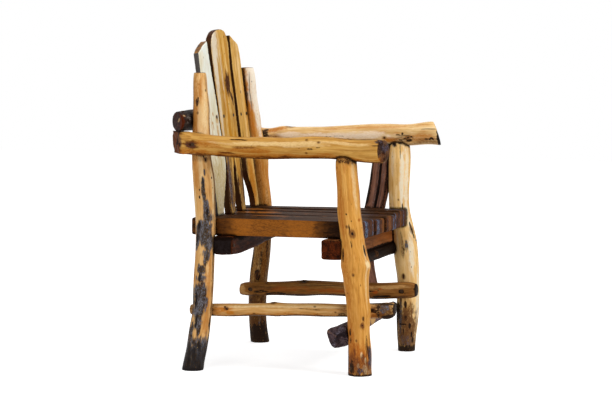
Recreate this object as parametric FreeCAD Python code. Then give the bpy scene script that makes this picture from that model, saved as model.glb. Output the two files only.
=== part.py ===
# Rustic log armchair: four bent legs, two log arms, a back rail with three
# boards, five seat planks on two bearers, and the sticks that brace the legs.
# Millimetres, +Z up, the sitter faces -Y, and -X is the sitter's right.
# The origin lies on the floor, in the middle of the chair's outer box.
import FreeCAD, Part
import math
import os

# Overall places of the frame
front_leg_spread = 488.0     # between the middles of the two front legs
front_leg_y = -223.0         # middle of the front feet
rear_foot_spread = 582.0     # between the middles of the two rear feet
rear_top_spread = 418.0      # between the middles of the two rear leg tops
rear_leg_y = 225.0           # middle of the rear legs at their straight part

# Logs: mean thickness of each kind of stick
front_leg_diameter = 64.0
rear_leg_diameter = 56.0
arm_diameter = 60.0
back_rail_diameter = 57.6
stretcher_right_diameter = 36.0
stretcher_left_diameter = 45.0
low_stretcher_diameter = 58.0
front_cross_diameter = 35.0
brace_stem_diameter = 39.0

# Legs
rear_leg_height = 831.0
rear_leg_bow = 30.0          # how far the rear legs bend backwards
front_leg_bow = 41.0         # how far the front legs lean back
saddle_depth = 10.0          # how far a front leg's top reaches up round the arm
tenon_diameter = 30.0
tenon_length = 36.0

# Arms
arm_height = 622.0           # arm middle over the floor, before its bow
arm_bow = 16.0
arm_length = 680.0           # before the ends are sawn off
arm_overrun = 35.0           # rear end beyond the rail's middle line, before sawing
arm_let_in = 12.5            # how deep an arm is hollowed round its rear leg
arm_right_front_trim = 58.5  # sawn off the right arm's front end, on its middle line
arm_right_front_skew = 17.0  # how much longer the end is on its inner side
arm_left_front_trim = 34.0
arm_left_front_skew = -22.0
arm_left_front_slope = 20.0  # how far the lower lip stands out
corner_x = 262.0             # the saw cut through arm and rail at each rear corner
corner_behind = 12.0         # how far it crosses behind the rail's middle line
corner_angle = 41.0          # degrees

# Back
back_rail_length = 640.0     # before the corners are sawn off
rail_set_down = 5.8          # how deep the rail lies down on the arms' swept-up ends
rail_flat = 3.7              # how deep the boards are let into the rail
slat_thickness = 19.0
slat_ahead = 4.0             # the boards' front plane ahead of the rear legs' middle line
slat_lean = 6.85             # degrees
slat_foot_up = 46.0          # over the bearers, where the boards' heights are measured from
slat_right_nail_shares = (-0.30, 0.24)    # across each board's width from its middle
slat_centre_nail_shares = (-0.224, 0.322)
slat_left_nail_shares = (-0.23, 0.27)
slat_right_width = 122.0
slat_right_x = -103.0
slat_right_height = 500.0
slat_centre_width = 150.0
slat_centre_x = 20.0
slat_centre_height = 534.0
slat_left_width = 96.0
slat_left_x = 158.0
slat_left_height = 514.0

# Seat
seat_under_z = 372.0         # underside of the planks, top of the bearers
seat_left_x = -228.0         # outer edge of the first plank
plank_widths = (122.0, 95.0, 97.5, 56.5, 82.0)
plank_thicknesses = (48.0, 43.0, 44.0, 46.0, 48.5)
plank_fronts = (-225.0, -227.0, -231.0, -229.0, -226.5)
plank_rears = (276.0, 255.0, 259.0, 275.0, 291.0)
plank_gap = 1.0
plank_edge = 5.0
bearer_edge = 6.0
front_bearer_length = 528.0
front_bearer_depth = 60.0
front_bearer_height = 55.0
front_bearer_bite = 6.3      # how deep it is notched round the front legs
rear_bearer_length = 524.0
rear_bearer_depth = 62.0
rear_bearer_height = 50.0
rear_bearer_bite = 6.5       # how deep it is notched round the rear legs
rear_bearer_belly = 6.0      # how much its underside sweeps up towards the left

# Lower sticks
stretcher_right_front_y = -309.0
stretcher_right_length = 584.0
stretcher_right_z = 162.0
stretcher_right_rise = 24.0
stretcher_left_front_y = -269.0
stretcher_left_length = 558.0
stretcher_left_z = 174.0
stretcher_left_rise = 12.0
stick_bite = 3.0             # how deep a stick is hollowed to fit the log beside it
low_stretcher_right_x = -262.0
low_stretcher_length = 518.0
low_stretcher_z = 105.0
low_stretcher_rise = 22.0
low_stretcher_chop = 30.0    # degrees, its right end is chopped back underneath
front_cross_right_x = -232.0
front_cross_length = 504.0
front_cross_z = 304.0
front_cross_right_bite = 28.0  # how deep it is let in round the right front leg
front_cross_left_bite = 12.0
brace_foot_z = 160.0
brace_y = -99.0
brace_sweep = 60.0
brace_stem_gap = 24.0        # between the middles of its two grown-together stems
brace_touch = 1.0            # flat worn where it lies against the seat's edge

# Nails
nail_shank_diameter = 4.0
nail_head_diameter = 10.0
nail_head_thickness = 2.4
nail_set = 1.6               # depth of the head's seat below the wood's surface
nail_point = 7.0
board_nail_length = 60.0
stick_nail_length = 75.0
frame_nail_length = 92.0
arm_nail_length = 84.0
slat_nail_up = 5.0           # over the rail's middle
rail_nail_inset = 20.0       # from an arm's middle
rail_nail_ahead = 8.0        # of the rail's middle
front_bearer_nail_inset = 24.0
rear_bearer_nail_inset = 12.0
front_cross_nail_inset = 24.0
brace_nail_up = 24.0         # over the planks' underside

# Fits
fit = 0.2                    # between a log and the hollow or hole cut for it
nail_clearance = 0.15        # round a nail's shank and head
mortise_end = 1.0            # left free past the end of a tenon

# Places that follow from the sizes above
back_rail_z = (arm_height + arm_bow + (arm_diameter + back_rail_diameter) / 2
               - rail_set_down)
slat_front_y = rear_leg_y - slat_ahead
slat_foot_z = seat_under_z + slat_foot_up
slat_slope = math.tan(math.radians(slat_lean))
back_rail_y = (slat_front_y + slat_thickness / math.cos(math.radians(slat_lean))
               + (back_rail_z - slat_foot_z) * slat_slope
               + back_rail_diameter / 2 - rail_flat)
corner_y = back_rail_y + corner_behind
arm_rear_y = back_rail_y + arm_overrun

X = FreeCAD.Vector(1, 0, 0)
Y = FreeCAD.Vector(0, 1, 0)
Z = FreeCAD.Vector(0, 0, 1)


def vec(x, y, z):
    return FreeCAD.Vector(x, y, z)


def log(stations, direction):
    """A stick through round sections: rows of middle point and diameter."""
    rings = []
    for middle, diameter in stations:
        circle = Part.Circle(middle, direction, diameter / 2)
        rings.append(Part.Wire(circle.toShape()))
    return Part.makeLoft(rings, True, False)


def half_space(point, outward, reach):
    """A block that fills everything beyond a plane, out to reach."""
    block = Part.makeBox(2 * reach, 2 * reach, reach, vec(-reach, -reach, 0))
    block.Placement = FreeCAD.Placement(point, FreeCAD.Rotation(Z, outward))
    return block


def saw(stick, point, outward, reach):
    return stick.cut(half_space(point, outward, reach))


def between(first, last, share):
    return first + (last - first) * share


def stick_at(stations, place, axis):
    """Middle point and diameter of a stick at one place along its axis."""
    pairs = zip(stations, stations[1:])
    for (first, thick), (last, thin) in pairs:
        start = getattr(first, axis)
        end = getattr(last, axis)
        if min(start, end) <= place <= max(start, end):
            share = (place - start) / (end - start)
            return first + (last - first) * share, between(thick, thin, share)
    raise ValueError("place is off the stick")


# Rear legs: they kick out backwards and sideways at the floor and lean back
# and inwards to their tops, which stand beside the back boards.
# Shares of the leg's height, of its bow and of its diameter, foot to top.
rear_leg_right_shares = (
    (0.000, 0.83, 1.09), (0.030, 0.72, 1.06), (0.097, 0.40, 1.05), (0.165, 0.17, 1.02),
    (0.233, 0.02, 0.995), (0.300, 0.00, 1.02), (0.368, -0.03, 0.995), (0.436, -0.03, 0.98),
    (0.504, 0.02, 1.00), (0.571, 0.15, 1.04), (0.638, 0.30, 1.08), (0.706, 0.58, 0.96),
    (0.757, 0.66, 0.90), (0.808, 0.71, 0.86), (0.860, 0.76, 0.82), (0.910, 0.84, 0.75),
    (0.955, 0.95, 0.69), (0.994, 1.03, 0.58))
rear_leg_left_shares = (
    (0.000, 0.79, 1.01), (0.077, 0.97, 0.95), (0.150, 0.94, 0.97), (0.190, 0.86, 0.975),
    (0.265, 0.61, 0.965), (0.303, 0.43, 0.95), (0.360, 0.20, 0.92), (0.435, 0.05, 0.93),
    (0.511, 0.00, 0.94), (0.563, 0.10, 0.915), (0.617, 0.18, 0.89), (0.672, 0.20, 0.94),
    (0.727, 0.43, 0.91), (0.778, 0.70, 0.86), (0.855, 0.89, 0.80), (0.930, 1.05, 0.75),
    (0.985, 1.17, 0.73), (1.000, 1.20, 0.66))


def rear_leg_stations(side, grow=0.0):
    shares = rear_leg_right_shares if side < 0 else rear_leg_left_shares
    return [(vec(side * between(rear_foot_spread, rear_top_spread, up) / 2,
                 rear_leg_y + rear_leg_bow * bow, rear_leg_height * up),
             rear_leg_diameter * girth + 2 * grow)
            for up, bow, girth in shares]


def rear_leg_log(side, grow=0.0):
    return log(rear_leg_stations(side, grow), Z)


# Arms: long logs, laid on the front legs and let in beside the rear legs.
# Shares of the arm's length from its rear end, of the way from the rear
# spread to the front one, of its bow and of its diameter.
arm_right_shares = (
    (0.000, 0.00, 1.00, 0.95), (0.069, 0.05, 0.71, 1.00), (0.107, 0.10, 0.56, 1.04),
    (0.187, 0.20, 0.29, 0.98), (0.315, 0.38, 0.00, 0.985), (0.437, 0.55, -0.06, 1.02),
    (0.525, 0.66, -0.02, 0.985), (0.609, 0.78, 0.16, 1.04), (0.713, 0.92, 0.08, 0.99),
    (0.779, 0.98, -0.19, 1.015), (0.868, 1.00, -0.30, 1.09), (0.941, 1.00, -0.31, 1.00),
    (1.000, 1.00, -0.31, 0.96))
arm_left_shares = (
    (0.000, 0.00, 0.90, 0.96), (0.051, 0.03, 0.78, 0.98), (0.107, 0.10, 0.19, 0.97),
    (0.154, 0.16, -0.08, 0.97), (0.199, 0.21, -0.06, 0.98), (0.238, 0.28, 0.15, 1.06),
    (0.283, 0.34, 0.17, 1.00), (0.340, 0.41, 0.22, 0.99), (0.400, 0.49, 0.28, 0.99),
    (0.459, 0.57, 0.34, 1.00), (0.562, 0.72, 0.56, 1.05),
    (0.650, 0.84, 0.77, 1.08), (0.750, 0.95, 0.87, 1.07), (0.838, 1.00, 0.98, 1.07),
    (0.885, 1.00, 1.22, 1.10), (0.929, 1.00, 1.33, 1.11), (1.000, 1.00, 1.25, 1.12))


def arm_stations(side, grow=0.0):
    shares = arm_right_shares if side < 0 else arm_left_shares
    leg, thick = stick_at(rear_leg_stations(side), arm_height, "z")
    rear_x = abs(leg.x) + (thick + arm_diameter) / 2 - arm_let_in
    return [(vec(side * between(rear_x, front_leg_spread / 2, inward),
                 arm_rear_y - arm_length * along, arm_height + arm_bow * lift),
             arm_diameter * girth + 2 * grow)
            for along, inward, lift, girth in shares]


def arm_point(side, y):
    """Middle and diameter of an arm where it passes over a place y."""
    return stick_at(arm_stations(side), y, "y")


def corner_plane(side):
    """The slanting saw cut that trims arm and rail at a rear corner."""
    turn = math.radians(corner_angle)
    return vec(side * corner_x, corner_y, 0), vec(side * math.sin(turn), math.cos(turn), 0)


def arm_front_plane(side):
    """Sawn front end of an arm: a middle point and the way it faces."""
    if side < 0:
        across = vec(arm_diameter, -arm_right_front_skew, 0)
        up = Z
        trim = arm_right_front_trim
    else:
        across = vec(arm_diameter, -arm_left_front_skew, 0)
        up = vec(0, arm_left_front_slope, arm_diameter)
        trim = arm_left_front_trim
    middle, thick = arm_point(side, arm_rear_y - arm_length + trim)
    facing = up.cross(across)
    facing.normalize()
    return middle, facing if facing.y < 0 else facing * -1


def arm_log(side, grow=0.0):
    """An arm with both ends sawn, before it is let in anywhere."""
    stick = log(arm_stations(side, grow), Y)
    point, outward = corner_plane(side)
    stick = saw(stick, point, outward, arm_length)
    point, outward = arm_front_plane(side)
    return saw(stick, point, outward, arm_length)


# Front legs: round and upright below the seat, they lean back a little above it
# and carry the arms on hollowed tops.
# Shares of the leg's height, of its bow and of its diameter, foot to shoulder.
front_leg_right_shares = (
    (0.000, 0.00, 1.04), (0.067, 0.01, 1.015), (0.158, 0.05, 0.97), (0.250, 0.09, 0.97),
    (0.340, 0.16, 1.01), (0.395, 0.25, 1.04), (0.458, 0.30, 1.17), (0.515, 0.34, 1.22),
    (0.560, 0.42, 1.13), (0.620, 0.53, 1.03), (0.710, 0.70, 1.02), (0.800, 0.80, 1.00),
    (0.895, 0.91, 0.95), (0.975, 0.99, 0.92), (1.000, 1.00, 0.84))
front_leg_left_shares = (
    (0.000, 0.00, 0.79), (0.047, 0.00, 0.84), (0.100, -0.02, 0.93), (0.190, -0.08, 1.03),
    (0.270, -0.12, 1.02), (0.340, -0.12, 1.01), (0.400, -0.04, 1.06), (0.483, 0.08, 1.12),
    (0.560, 0.22, 1.08), (0.625, 0.43, 1.03), (0.685, 0.56, 0.95), (0.740, 0.60, 0.93),
    (0.800, 0.59, 0.96), (0.870, 0.57, 1.01), (0.950, 0.56, 1.00), (1.000, 0.55, 0.86))


def front_leg_x(side):
    return side * front_leg_spread / 2


def front_leg_stations(side, grow=0.0):
    shares = front_leg_right_shares if side < 0 else front_leg_left_shares
    top_y = front_leg_y + front_leg_bow * shares[-1][1]
    middle, thick = arm_point(side, top_y)
    height = middle.z - thick / 2 + saddle_depth
    return [(vec(front_leg_x(side), front_leg_y + front_leg_bow * bow, height * up),
             front_leg_diameter * girth + 2 * grow)
            for up, bow, girth in shares]


def front_leg_tenon(side, grow=0.0, longer=0.0):
    """The round tongue on a front leg's top that stands in the arm."""
    top, thick = front_leg_stations(side)[-1]
    middle, arm_thick = arm_point(side, top.y)
    foot = vec(top.x, top.y, middle.z - arm_thick / 2 - saddle_depth)
    height = tenon_length + saddle_depth + longer
    return Part.makeCylinder(tenon_diameter / 2 + grow, height, foot, Z)


# Back rail: a dark round log behind the legs, resting on the arms' rear ends.
# Shares of its length from the right end and of its diameter.
back_rail_shares = ((0.00, 0.96), (0.12, 1.00), (0.30, 1.02), (0.50, 0.99), (0.70, 1.03),
                    (0.88, 0.99), (1.00, 0.95))


def back_rail_stations():
    return [(vec(back_rail_length * (along - 0.5), back_rail_y, back_rail_z),
             back_rail_diameter * girth)
            for along, girth in back_rail_shares]


def back_rail_log():
    stick = log(back_rail_stations(), X)
    for side in (-1, 1):
        point, outward = corner_plane(side)
        stick = saw(stick, point, outward, back_rail_length)
    return stick


# Seat: five planks that run from front to back on two squared bearers.
def plank_left(number):
    return seat_left_x + sum(plank_widths[:number]) + plank_gap * number


def plank_top(number):
    return seat_under_z + plank_thicknesses[number]


def seat_block(number):
    """Room that a plank takes up under the feet of the back boards."""
    return Part.makeBox(plank_widths[number] + plank_gap,
                        plank_rears[number] - plank_fronts[number],
                        plank_thicknesses[number],
                        vec(plank_left(number), plank_fronts[number], seat_under_z))


def seat_plank_blank(number):
    block = Part.makeBox(plank_widths[number], plank_rears[number] - plank_fronts[number],
                         plank_thicknesses[number],
                         vec(plank_left(number), plank_fronts[number], seat_under_z))
    return block.makeFillet(plank_edge, block.Edges)


def behind_front_legs(x, heights, depths, bites):
    """Middle line, at x, of a stick that lies against the rear of both front legs."""
    ends = []
    for side, height, depth, bite in zip((-1, 1), heights, depths, bites):
        leg, thick = stick_at(front_leg_stations(side), height, "z")
        ends.append(leg.y + (thick + depth) / 2 - bite)
    return between(ends[0], ends[1], x / front_leg_spread + 0.5)


def front_bearer_y(x):
    height = seat_under_z - front_bearer_height / 2
    return behind_front_legs(x, (height, height), (front_bearer_depth, front_bearer_depth),
                             (front_bearer_bite, front_bearer_bite))


def front_bearer_blank():
    block = Part.makeBox(front_bearer_length, front_bearer_depth, front_bearer_height,
                         vec(-front_bearer_length / 2, -front_bearer_depth / 2,
                             seat_under_z - front_bearer_height))
    block = block.makeFillet(bearer_edge, block.Edges)
    run = front_bearer_y(front_leg_spread / 2) - front_bearer_y(-front_leg_spread / 2)
    turn = math.degrees(math.atan2(run, front_leg_spread))
    block.Placement = FreeCAD.Placement(vec(0, front_bearer_y(0), 0), FreeCAD.Rotation(Z, turn))
    return block


def rear_bearer_y():
    """Middle line of the rear bearer, which lies against both rear legs."""
    total = 0
    for side in (-1, 1):
        leg, thick = stick_at(rear_leg_stations(side), seat_under_z - rear_bearer_height / 2, "z")
        total += leg.y - (thick + rear_bearer_depth) / 2 + rear_bearer_bite
    return total / 2


def rear_bearer_blank():
    """A squared stick, deepest at its right half, whose underside sweeps up to the left."""
    left = -rear_bearer_length / 2
    right = rear_bearer_length / 2
    front = rear_bearer_y() - rear_bearer_depth / 2
    low = seat_under_z - rear_bearer_height
    points = [vec(left, front, low),
              vec(between(left, right, 0.22), front, low - rear_bearer_belly / 3),
              vec(between(left, right, 0.50), front, low + rear_bearer_belly),
              vec(right, front, low + 2 * rear_bearer_belly)]
    curve = Part.BSplineCurve()
    curve.interpolate(points)
    corners = [points[-1], vec(right, front, seat_under_z), vec(left, front, seat_under_z),
               points[0]]
    edges = [curve.toShape()]
    for start, end in zip(corners, corners[1:]):
        edges.append(Part.LineSegment(start, end).toShape())
    face = Part.Face(Part.Wire(edges))
    block = face.extrude(vec(0, rear_bearer_depth, 0))
    return block.makeFillet(bearer_edge, block.Edges)


# Back boards: their front faces lie in one leaning plane, their feet stand
# on the seat and their backs are nailed to the rail.
# Outlines, clockwise from the left foot as shares of each board's width from its
# middle and of its height: a row of two points is a straight cut, a longer one a smooth side.
slat_right_shares = (
    ((-0.42, -0.02), (-0.43, 0.12), (-0.45, 0.30), (-0.48, 0.60), (-0.50, 0.84), (-0.495, 0.93)),
    ((-0.495, 0.93), (-0.13, 0.972)),
    ((-0.13, 0.972), (0.17, 0.998)),
    ((0.17, 0.998), (0.19, 0.92), (0.25, 0.80), (0.36, 0.62), (0.42, 0.44), (0.49, 0.32),
     (0.45, 0.24), (0.20, 0.12), (0.03, 0.04), (-0.02, -0.02)),
    ((-0.02, -0.02), (-0.42, -0.02)))
slat_centre_shares = (
    ((-0.44, -0.02), (-0.45, 0.11), (-0.385, 0.25), (-0.43, 0.35), (-0.45, 0.43), (-0.48, 0.64),
     (-0.50, 0.83), (-0.49, 0.90)),
    ((-0.49, 0.90), (-0.44, 0.935), (-0.36, 0.958), (-0.20, 0.982), (0.06, 0.995), (0.26, 0.992),
     (0.40, 0.975), (0.48, 0.94), (0.50, 0.89)),
    ((0.50, 0.89), (0.47, 0.82), (0.475, 0.62), (0.48, 0.42), (0.48, 0.26), (0.47, 0.11),
     (0.42, -0.02)),
    ((0.42, -0.02), (0.24, -0.02)),
    ((0.24, -0.02), (0.17, 0.08), (0.10, 0.19), (0.055, 0.245), (0.02, 0.25), (-0.01, 0.235),
     (-0.06, 0.14), (-0.13, 0.05), (-0.26, -0.02)),
    ((-0.26, -0.02), (-0.44, -0.02)))
slat_left_shares = (
    ((0.08, -0.02), (0.05, 0.10), (-0.22, 0.19), (-0.40, 0.28), (-0.45, 0.42), (-0.48, 0.65),
     (-0.49, 0.90), (-0.44, 1.00)),
    ((-0.44, 1.00), (0.21, 0.945)),
    ((0.21, 0.945), (0.28, 0.90), (0.31, 0.82), (0.355, 0.62), (0.40, 0.42), (0.43, 0.26),
     (0.48, 0.10), (0.50, -0.02)),
    ((0.50, -0.02), (0.08, -0.02)))


def slat_board(outline, x, width, height):
    """A board extruded from its outline and leant back."""
    edges = []
    for row in outline:
        points = [vec(across * width, 0, up * height) for across, up in row]
        if len(points) == 2:
            edges.append(Part.LineSegment(*points).toShape())
        else:
            side = Part.BSplineCurve()
            side.interpolate(points)
            edges.append(side.toShape())
    board = Part.Face(Part.Wire(edges)).extrude(vec(0, slat_thickness, 0))
    board.Placement = FreeCAD.Placement(vec(x, slat_front_y, slat_foot_z),
                                        FreeCAD.Rotation(X, -slat_lean))
    return board


def make_slats():
    return {"back_slat_right": slat_board(slat_right_shares, slat_right_x, slat_right_width,
                                          slat_right_height),
            "back_slat_centre": slat_board(slat_centre_shares, slat_centre_x, slat_centre_width,
                                           slat_centre_height),
            "back_slat_left": slat_board(slat_left_shares, slat_left_x, slat_left_width,
                                         slat_left_height)}


def slat_normal():
    """The way the boards' backs face."""
    normal = vec(0, 1, -slat_slope)
    normal.normalize()
    return normal


def slat_front_point(x, z):
    """A point on the boards' common front plane."""
    return vec(x, slat_front_y + (z - slat_foot_z) * slat_slope, z)


# Lower sticks. The two side stretchers lie against the inner sides of the
# legs and run past them at both ends. Shares of length from the rear end,
# of the rise towards the front and of the diameter.
stretcher_right_shares = (
    (0.00, 0.00, 0.76), (0.03, 0.00, 0.88), (0.12, 0.02, 0.98), (0.25, 0.12, 1.00),
    (0.39, 0.27, 1.03), (0.42, 0.28, 1.07), (0.46, 0.30, 1.02), (0.60, 0.37, 1.03),
    (0.75, 0.41, 1.00), (0.83, 0.43, 1.05), (0.89, 0.46, 1.19), (0.935, 0.56, 1.13),
    (0.975, 0.66, 1.05), (1.00, 0.78, 0.78))
stretcher_left_shares = (
    (0.00, -0.67, 0.74), (0.035, -0.55, 0.92), (0.10, -0.40, 0.95), (0.17, -0.20, 0.92),
    (0.29, 0.10, 0.955), (0.36, 0.28, 1.05), (0.44, 0.50, 1.00), (0.57, 0.52, 0.92),
    (0.66, 0.45, 0.97), (0.75, 0.40, 1.05), (0.86, 0.72, 1.05), (0.95, 1.00, 1.03),
    (0.985, 1.05, 0.90), (1.00, 1.08, 0.72))


def side_stretcher_stations(side, grow=0.0):
    if side < 0:
        shares = stretcher_right_shares
        diameter = stretcher_right_diameter
        length = stretcher_right_length
        rear_y = stretcher_right_front_y + length
        low = stretcher_right_z
        rise = stretcher_right_rise
    else:
        shares = stretcher_left_shares
        diameter = stretcher_left_diameter
        length = stretcher_left_length
        rear_y = stretcher_left_front_y + length
        low = stretcher_left_z
        rise = stretcher_left_rise
    rear_leg, rear_thick = stick_at(rear_leg_stations(side), low, "z")
    front_leg, front_thick = stick_at(front_leg_stations(side), low, "z")
    rear_x = abs(rear_leg.x) - rear_thick / 2 - diameter / 2 + stick_bite
    front_x = abs(front_leg.x) - front_thick / 2 - diameter / 2 + stick_bite
    inward = (front_x - rear_x) / (front_leg.y - rear_leg.y)
    stations = []
    for along, up, girth in shares:
        y = rear_y - length * along
        x = side * (rear_x + inward * (y - rear_leg.y))
        stations.append((vec(x, y, low + rise * up), diameter * girth + 2 * grow))
    return stations


# The low stretcher lies behind the front legs, thick and chopped at its
# right end and thinner towards its left one. Shares of its length from the
# right end, of its rise and of its diameter.
low_stretcher_shares = (
    (0.00, 0.02, 0.94), (0.06, 0.04, 0.98), (0.11, 0.20, 0.88), (0.17, 0.36, 0.80),
    (0.26, 0.42, 0.78), (0.42, 0.52, 0.73), (0.58, 0.70, 0.63), (0.72, 0.85, 0.59),
    (0.88, 0.96, 0.60), (0.97, 1.00, 0.58), (1.00, 1.00, 0.52))


def low_stretcher_stations():
    heights = (low_stretcher_z, low_stretcher_z + low_stretcher_rise)
    depths = (low_stretcher_diameter * low_stretcher_shares[1][2],
              low_stretcher_diameter * low_stretcher_shares[-2][2])
    stations = []
    for along, up, girth in low_stretcher_shares:
        x = low_stretcher_right_x + low_stretcher_length * along
        y = behind_front_legs(x, heights, depths, (stick_bite, stick_bite))
        stations.append((vec(x, y, low_stretcher_z + low_stretcher_rise * up),
                         low_stretcher_diameter * girth))
    return stations


def low_stretcher_log():
    stations = low_stretcher_stations()
    stick = log(stations, X)
    end = stations[0][0]
    chop = math.radians(low_stretcher_chop)
    return saw(stick, end, vec(-math.cos(chop), 0, -math.sin(chop)), low_stretcher_length)


# The front cross log lies behind the front legs too, close under the front
# bearer. Shares of its length from the right end and of its diameter.
front_cross_shares = ((0.00, 0.90), (0.03, 0.96), (0.20, 1.00), (0.45, 0.98), (0.70, 1.02),
                      (0.90, 1.05), (0.98, 1.00), (1.00, 0.92))


def front_cross_stations():
    heights = (front_cross_z, front_cross_z)
    depths = (front_cross_diameter, front_cross_diameter)
    bites = (front_cross_right_bite, front_cross_left_bite)
    stations = []
    for along, girth in front_cross_shares:
        x = front_cross_right_x + front_cross_length * along
        y = behind_front_legs(x, heights, depths, bites)
        stations.append((vec(x, y, front_cross_z), front_cross_diameter * girth))
    return stations


# The brace is one crooked branch of two grown-together stems. It stands
# outside the left stretcher and the seat's left edge and runs up under the arm.
# Shares of its height, of its sweep, of the way out to the seat's edge and
# of a stem's diameter.
brace_shares = (
    (0.00, 0.26, 0.00, 0.76), (0.03, 0.20, 0.02, 0.84), (0.10, 0.07, 0.15, 0.88),
    (0.23, -0.10, 0.60, 0.90), (0.38, 0.07, 0.95, 0.95), (0.46, 0.26, 1.00, 0.99),
    (0.55, 0.42, 1.00, 1.00), (0.68, 0.63, 1.00, 1.00), (0.82, 0.80, 1.00, 0.99),
    (0.94, 1.00, 1.00, 0.98), (1.00, 1.10, 1.00, 0.97))


def seat_right_x():
    return plank_left(len(plank_widths) - 1) + plank_widths[-1]


def brace_middle_stations():
    foot_y = brace_y - brace_sweep * brace_shares[0][1]
    stretcher, thick = stick_at(side_stretcher_stations(1), foot_y, "y")
    foot_x = stretcher.x + thick / 2 + brace_stem_diameter / 2 - stick_bite
    top_x = seat_right_x() + brace_stem_diameter / 2 - brace_touch
    arm, thick = arm_point(1, brace_y - brace_sweep)
    height = arm.z - brace_foot_z
    return [(vec(between(foot_x, top_x, out), brace_y - brace_sweep * sweep,
                 brace_foot_z + height * up), brace_stem_diameter * girth)
            for up, sweep, out, girth in brace_shares]


def brace_log():
    stems = []
    for side in (-1, 1):
        aside = vec(0, side * brace_stem_gap / 2, 0)
        stems.append(log([(middle + aside, thick) for middle, thick in brace_middle_stations()], Z))
    return stems[0].fuse(stems[1]).removeSplitter()


# Nails: round heads seated just below the surface, long shanks and points.
def nail(point, inward, length):
    seat = point + inward * nail_set
    head = Part.makeCylinder(nail_head_diameter / 2, nail_head_thickness,
                             seat - inward * nail_head_thickness, inward)
    head = head.makeFillet(nail_head_thickness / 3, [head.Edges[0]])
    shank = Part.makeCylinder(nail_shank_diameter / 2, length - nail_point, seat, inward)
    tip = Part.makeCone(nail_shank_diameter / 2, nail_shank_diameter / 12, nail_point,
                        seat + inward * (length - nail_point), inward)
    return head.fuse([shank, tip]).removeSplitter()


def nail_hole(point, inward, length):
    seat = point + inward * nail_set
    room = nail_head_diameter
    recess = Part.makeCylinder(nail_head_diameter / 2 + nail_clearance, room,
                               seat - inward * room, inward)
    bore = Part.makeCylinder(nail_shank_diameter / 2 + nail_clearance, length + nail_clearance,
                             seat, inward)
    return recess.fuse(bore)


def crown(stations, place, axis, outward):
    """The point on a stick's surface at one place, on the side outward."""
    middle, thick = stick_at(stations, place, axis)
    return middle + outward * (thick / 2)


def make_pieces():
    """Every wooden piece, cut to fit its neighbours."""
    pieces = make_slats()
    planks = []
    legs = []
    for side, name in ((-1, "right"), (1, "left")):
        rear = rear_leg_log(side)
        front = log(front_leg_stations(side), Z).cut(arm_log(side, fit))
        front = front.fuse(front_leg_tenon(side)).removeSplitter()
        arm = arm_log(side).cut(rear_leg_log(side, fit))
        arm = arm.cut(front_leg_tenon(side, fit, mortise_end))
        pieces["rear_leg_" + name] = rear
        pieces["front_leg_" + name] = front
        pieces["arm_" + name] = arm
        legs.append(rear_leg_log(side, fit))
        legs.append(log(front_leg_stations(side, fit), Z))
    for number in range(len(plank_widths)):
        plank = seat_plank_blank(number).cut(legs)
        pieces["seat_plank_%d" % (number + 1)] = plank
        planks.append(plank)
    seat = [seat_block(number) for number in range(len(plank_widths))]
    for name in ("back_slat_right", "back_slat_centre", "back_slat_left"):
        pieces[name] = pieces[name].cut(seat)
    rail = back_rail_log().cut([rear_leg_log(-1, fit), rear_leg_log(1, fit)])
    rail = rail.cut([arm_log(-1, fit), arm_log(1, fit)])
    pieces["back_rail"] = rail.cut([pieces["back_slat_right"], pieces["back_slat_centre"],
                                    pieces["back_slat_left"]])
    pieces["front_seat_bearer"] = front_bearer_blank().cut(legs)
    pieces["rear_seat_bearer"] = rear_bearer_blank().cut(legs)
    pieces["front_cross_log"] = log(front_cross_stations(), X).cut(
        legs + [pieces["front_seat_bearer"]])
    pieces["side_stretcher_right"] = log(side_stretcher_stations(-1), Y).cut(legs)
    pieces["side_stretcher_left"] = log(side_stretcher_stations(1), Y).cut(legs)
    pieces["low_stretcher"] = low_stretcher_log().cut(legs)
    brace = brace_log().cut(legs + [arm_log(1, fit), log(side_stretcher_stations(1, fit), Y)])
    pieces["left_brace"] = brace.cut([planks[-1], pieces["front_seat_bearer"]])
    return pieces


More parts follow.
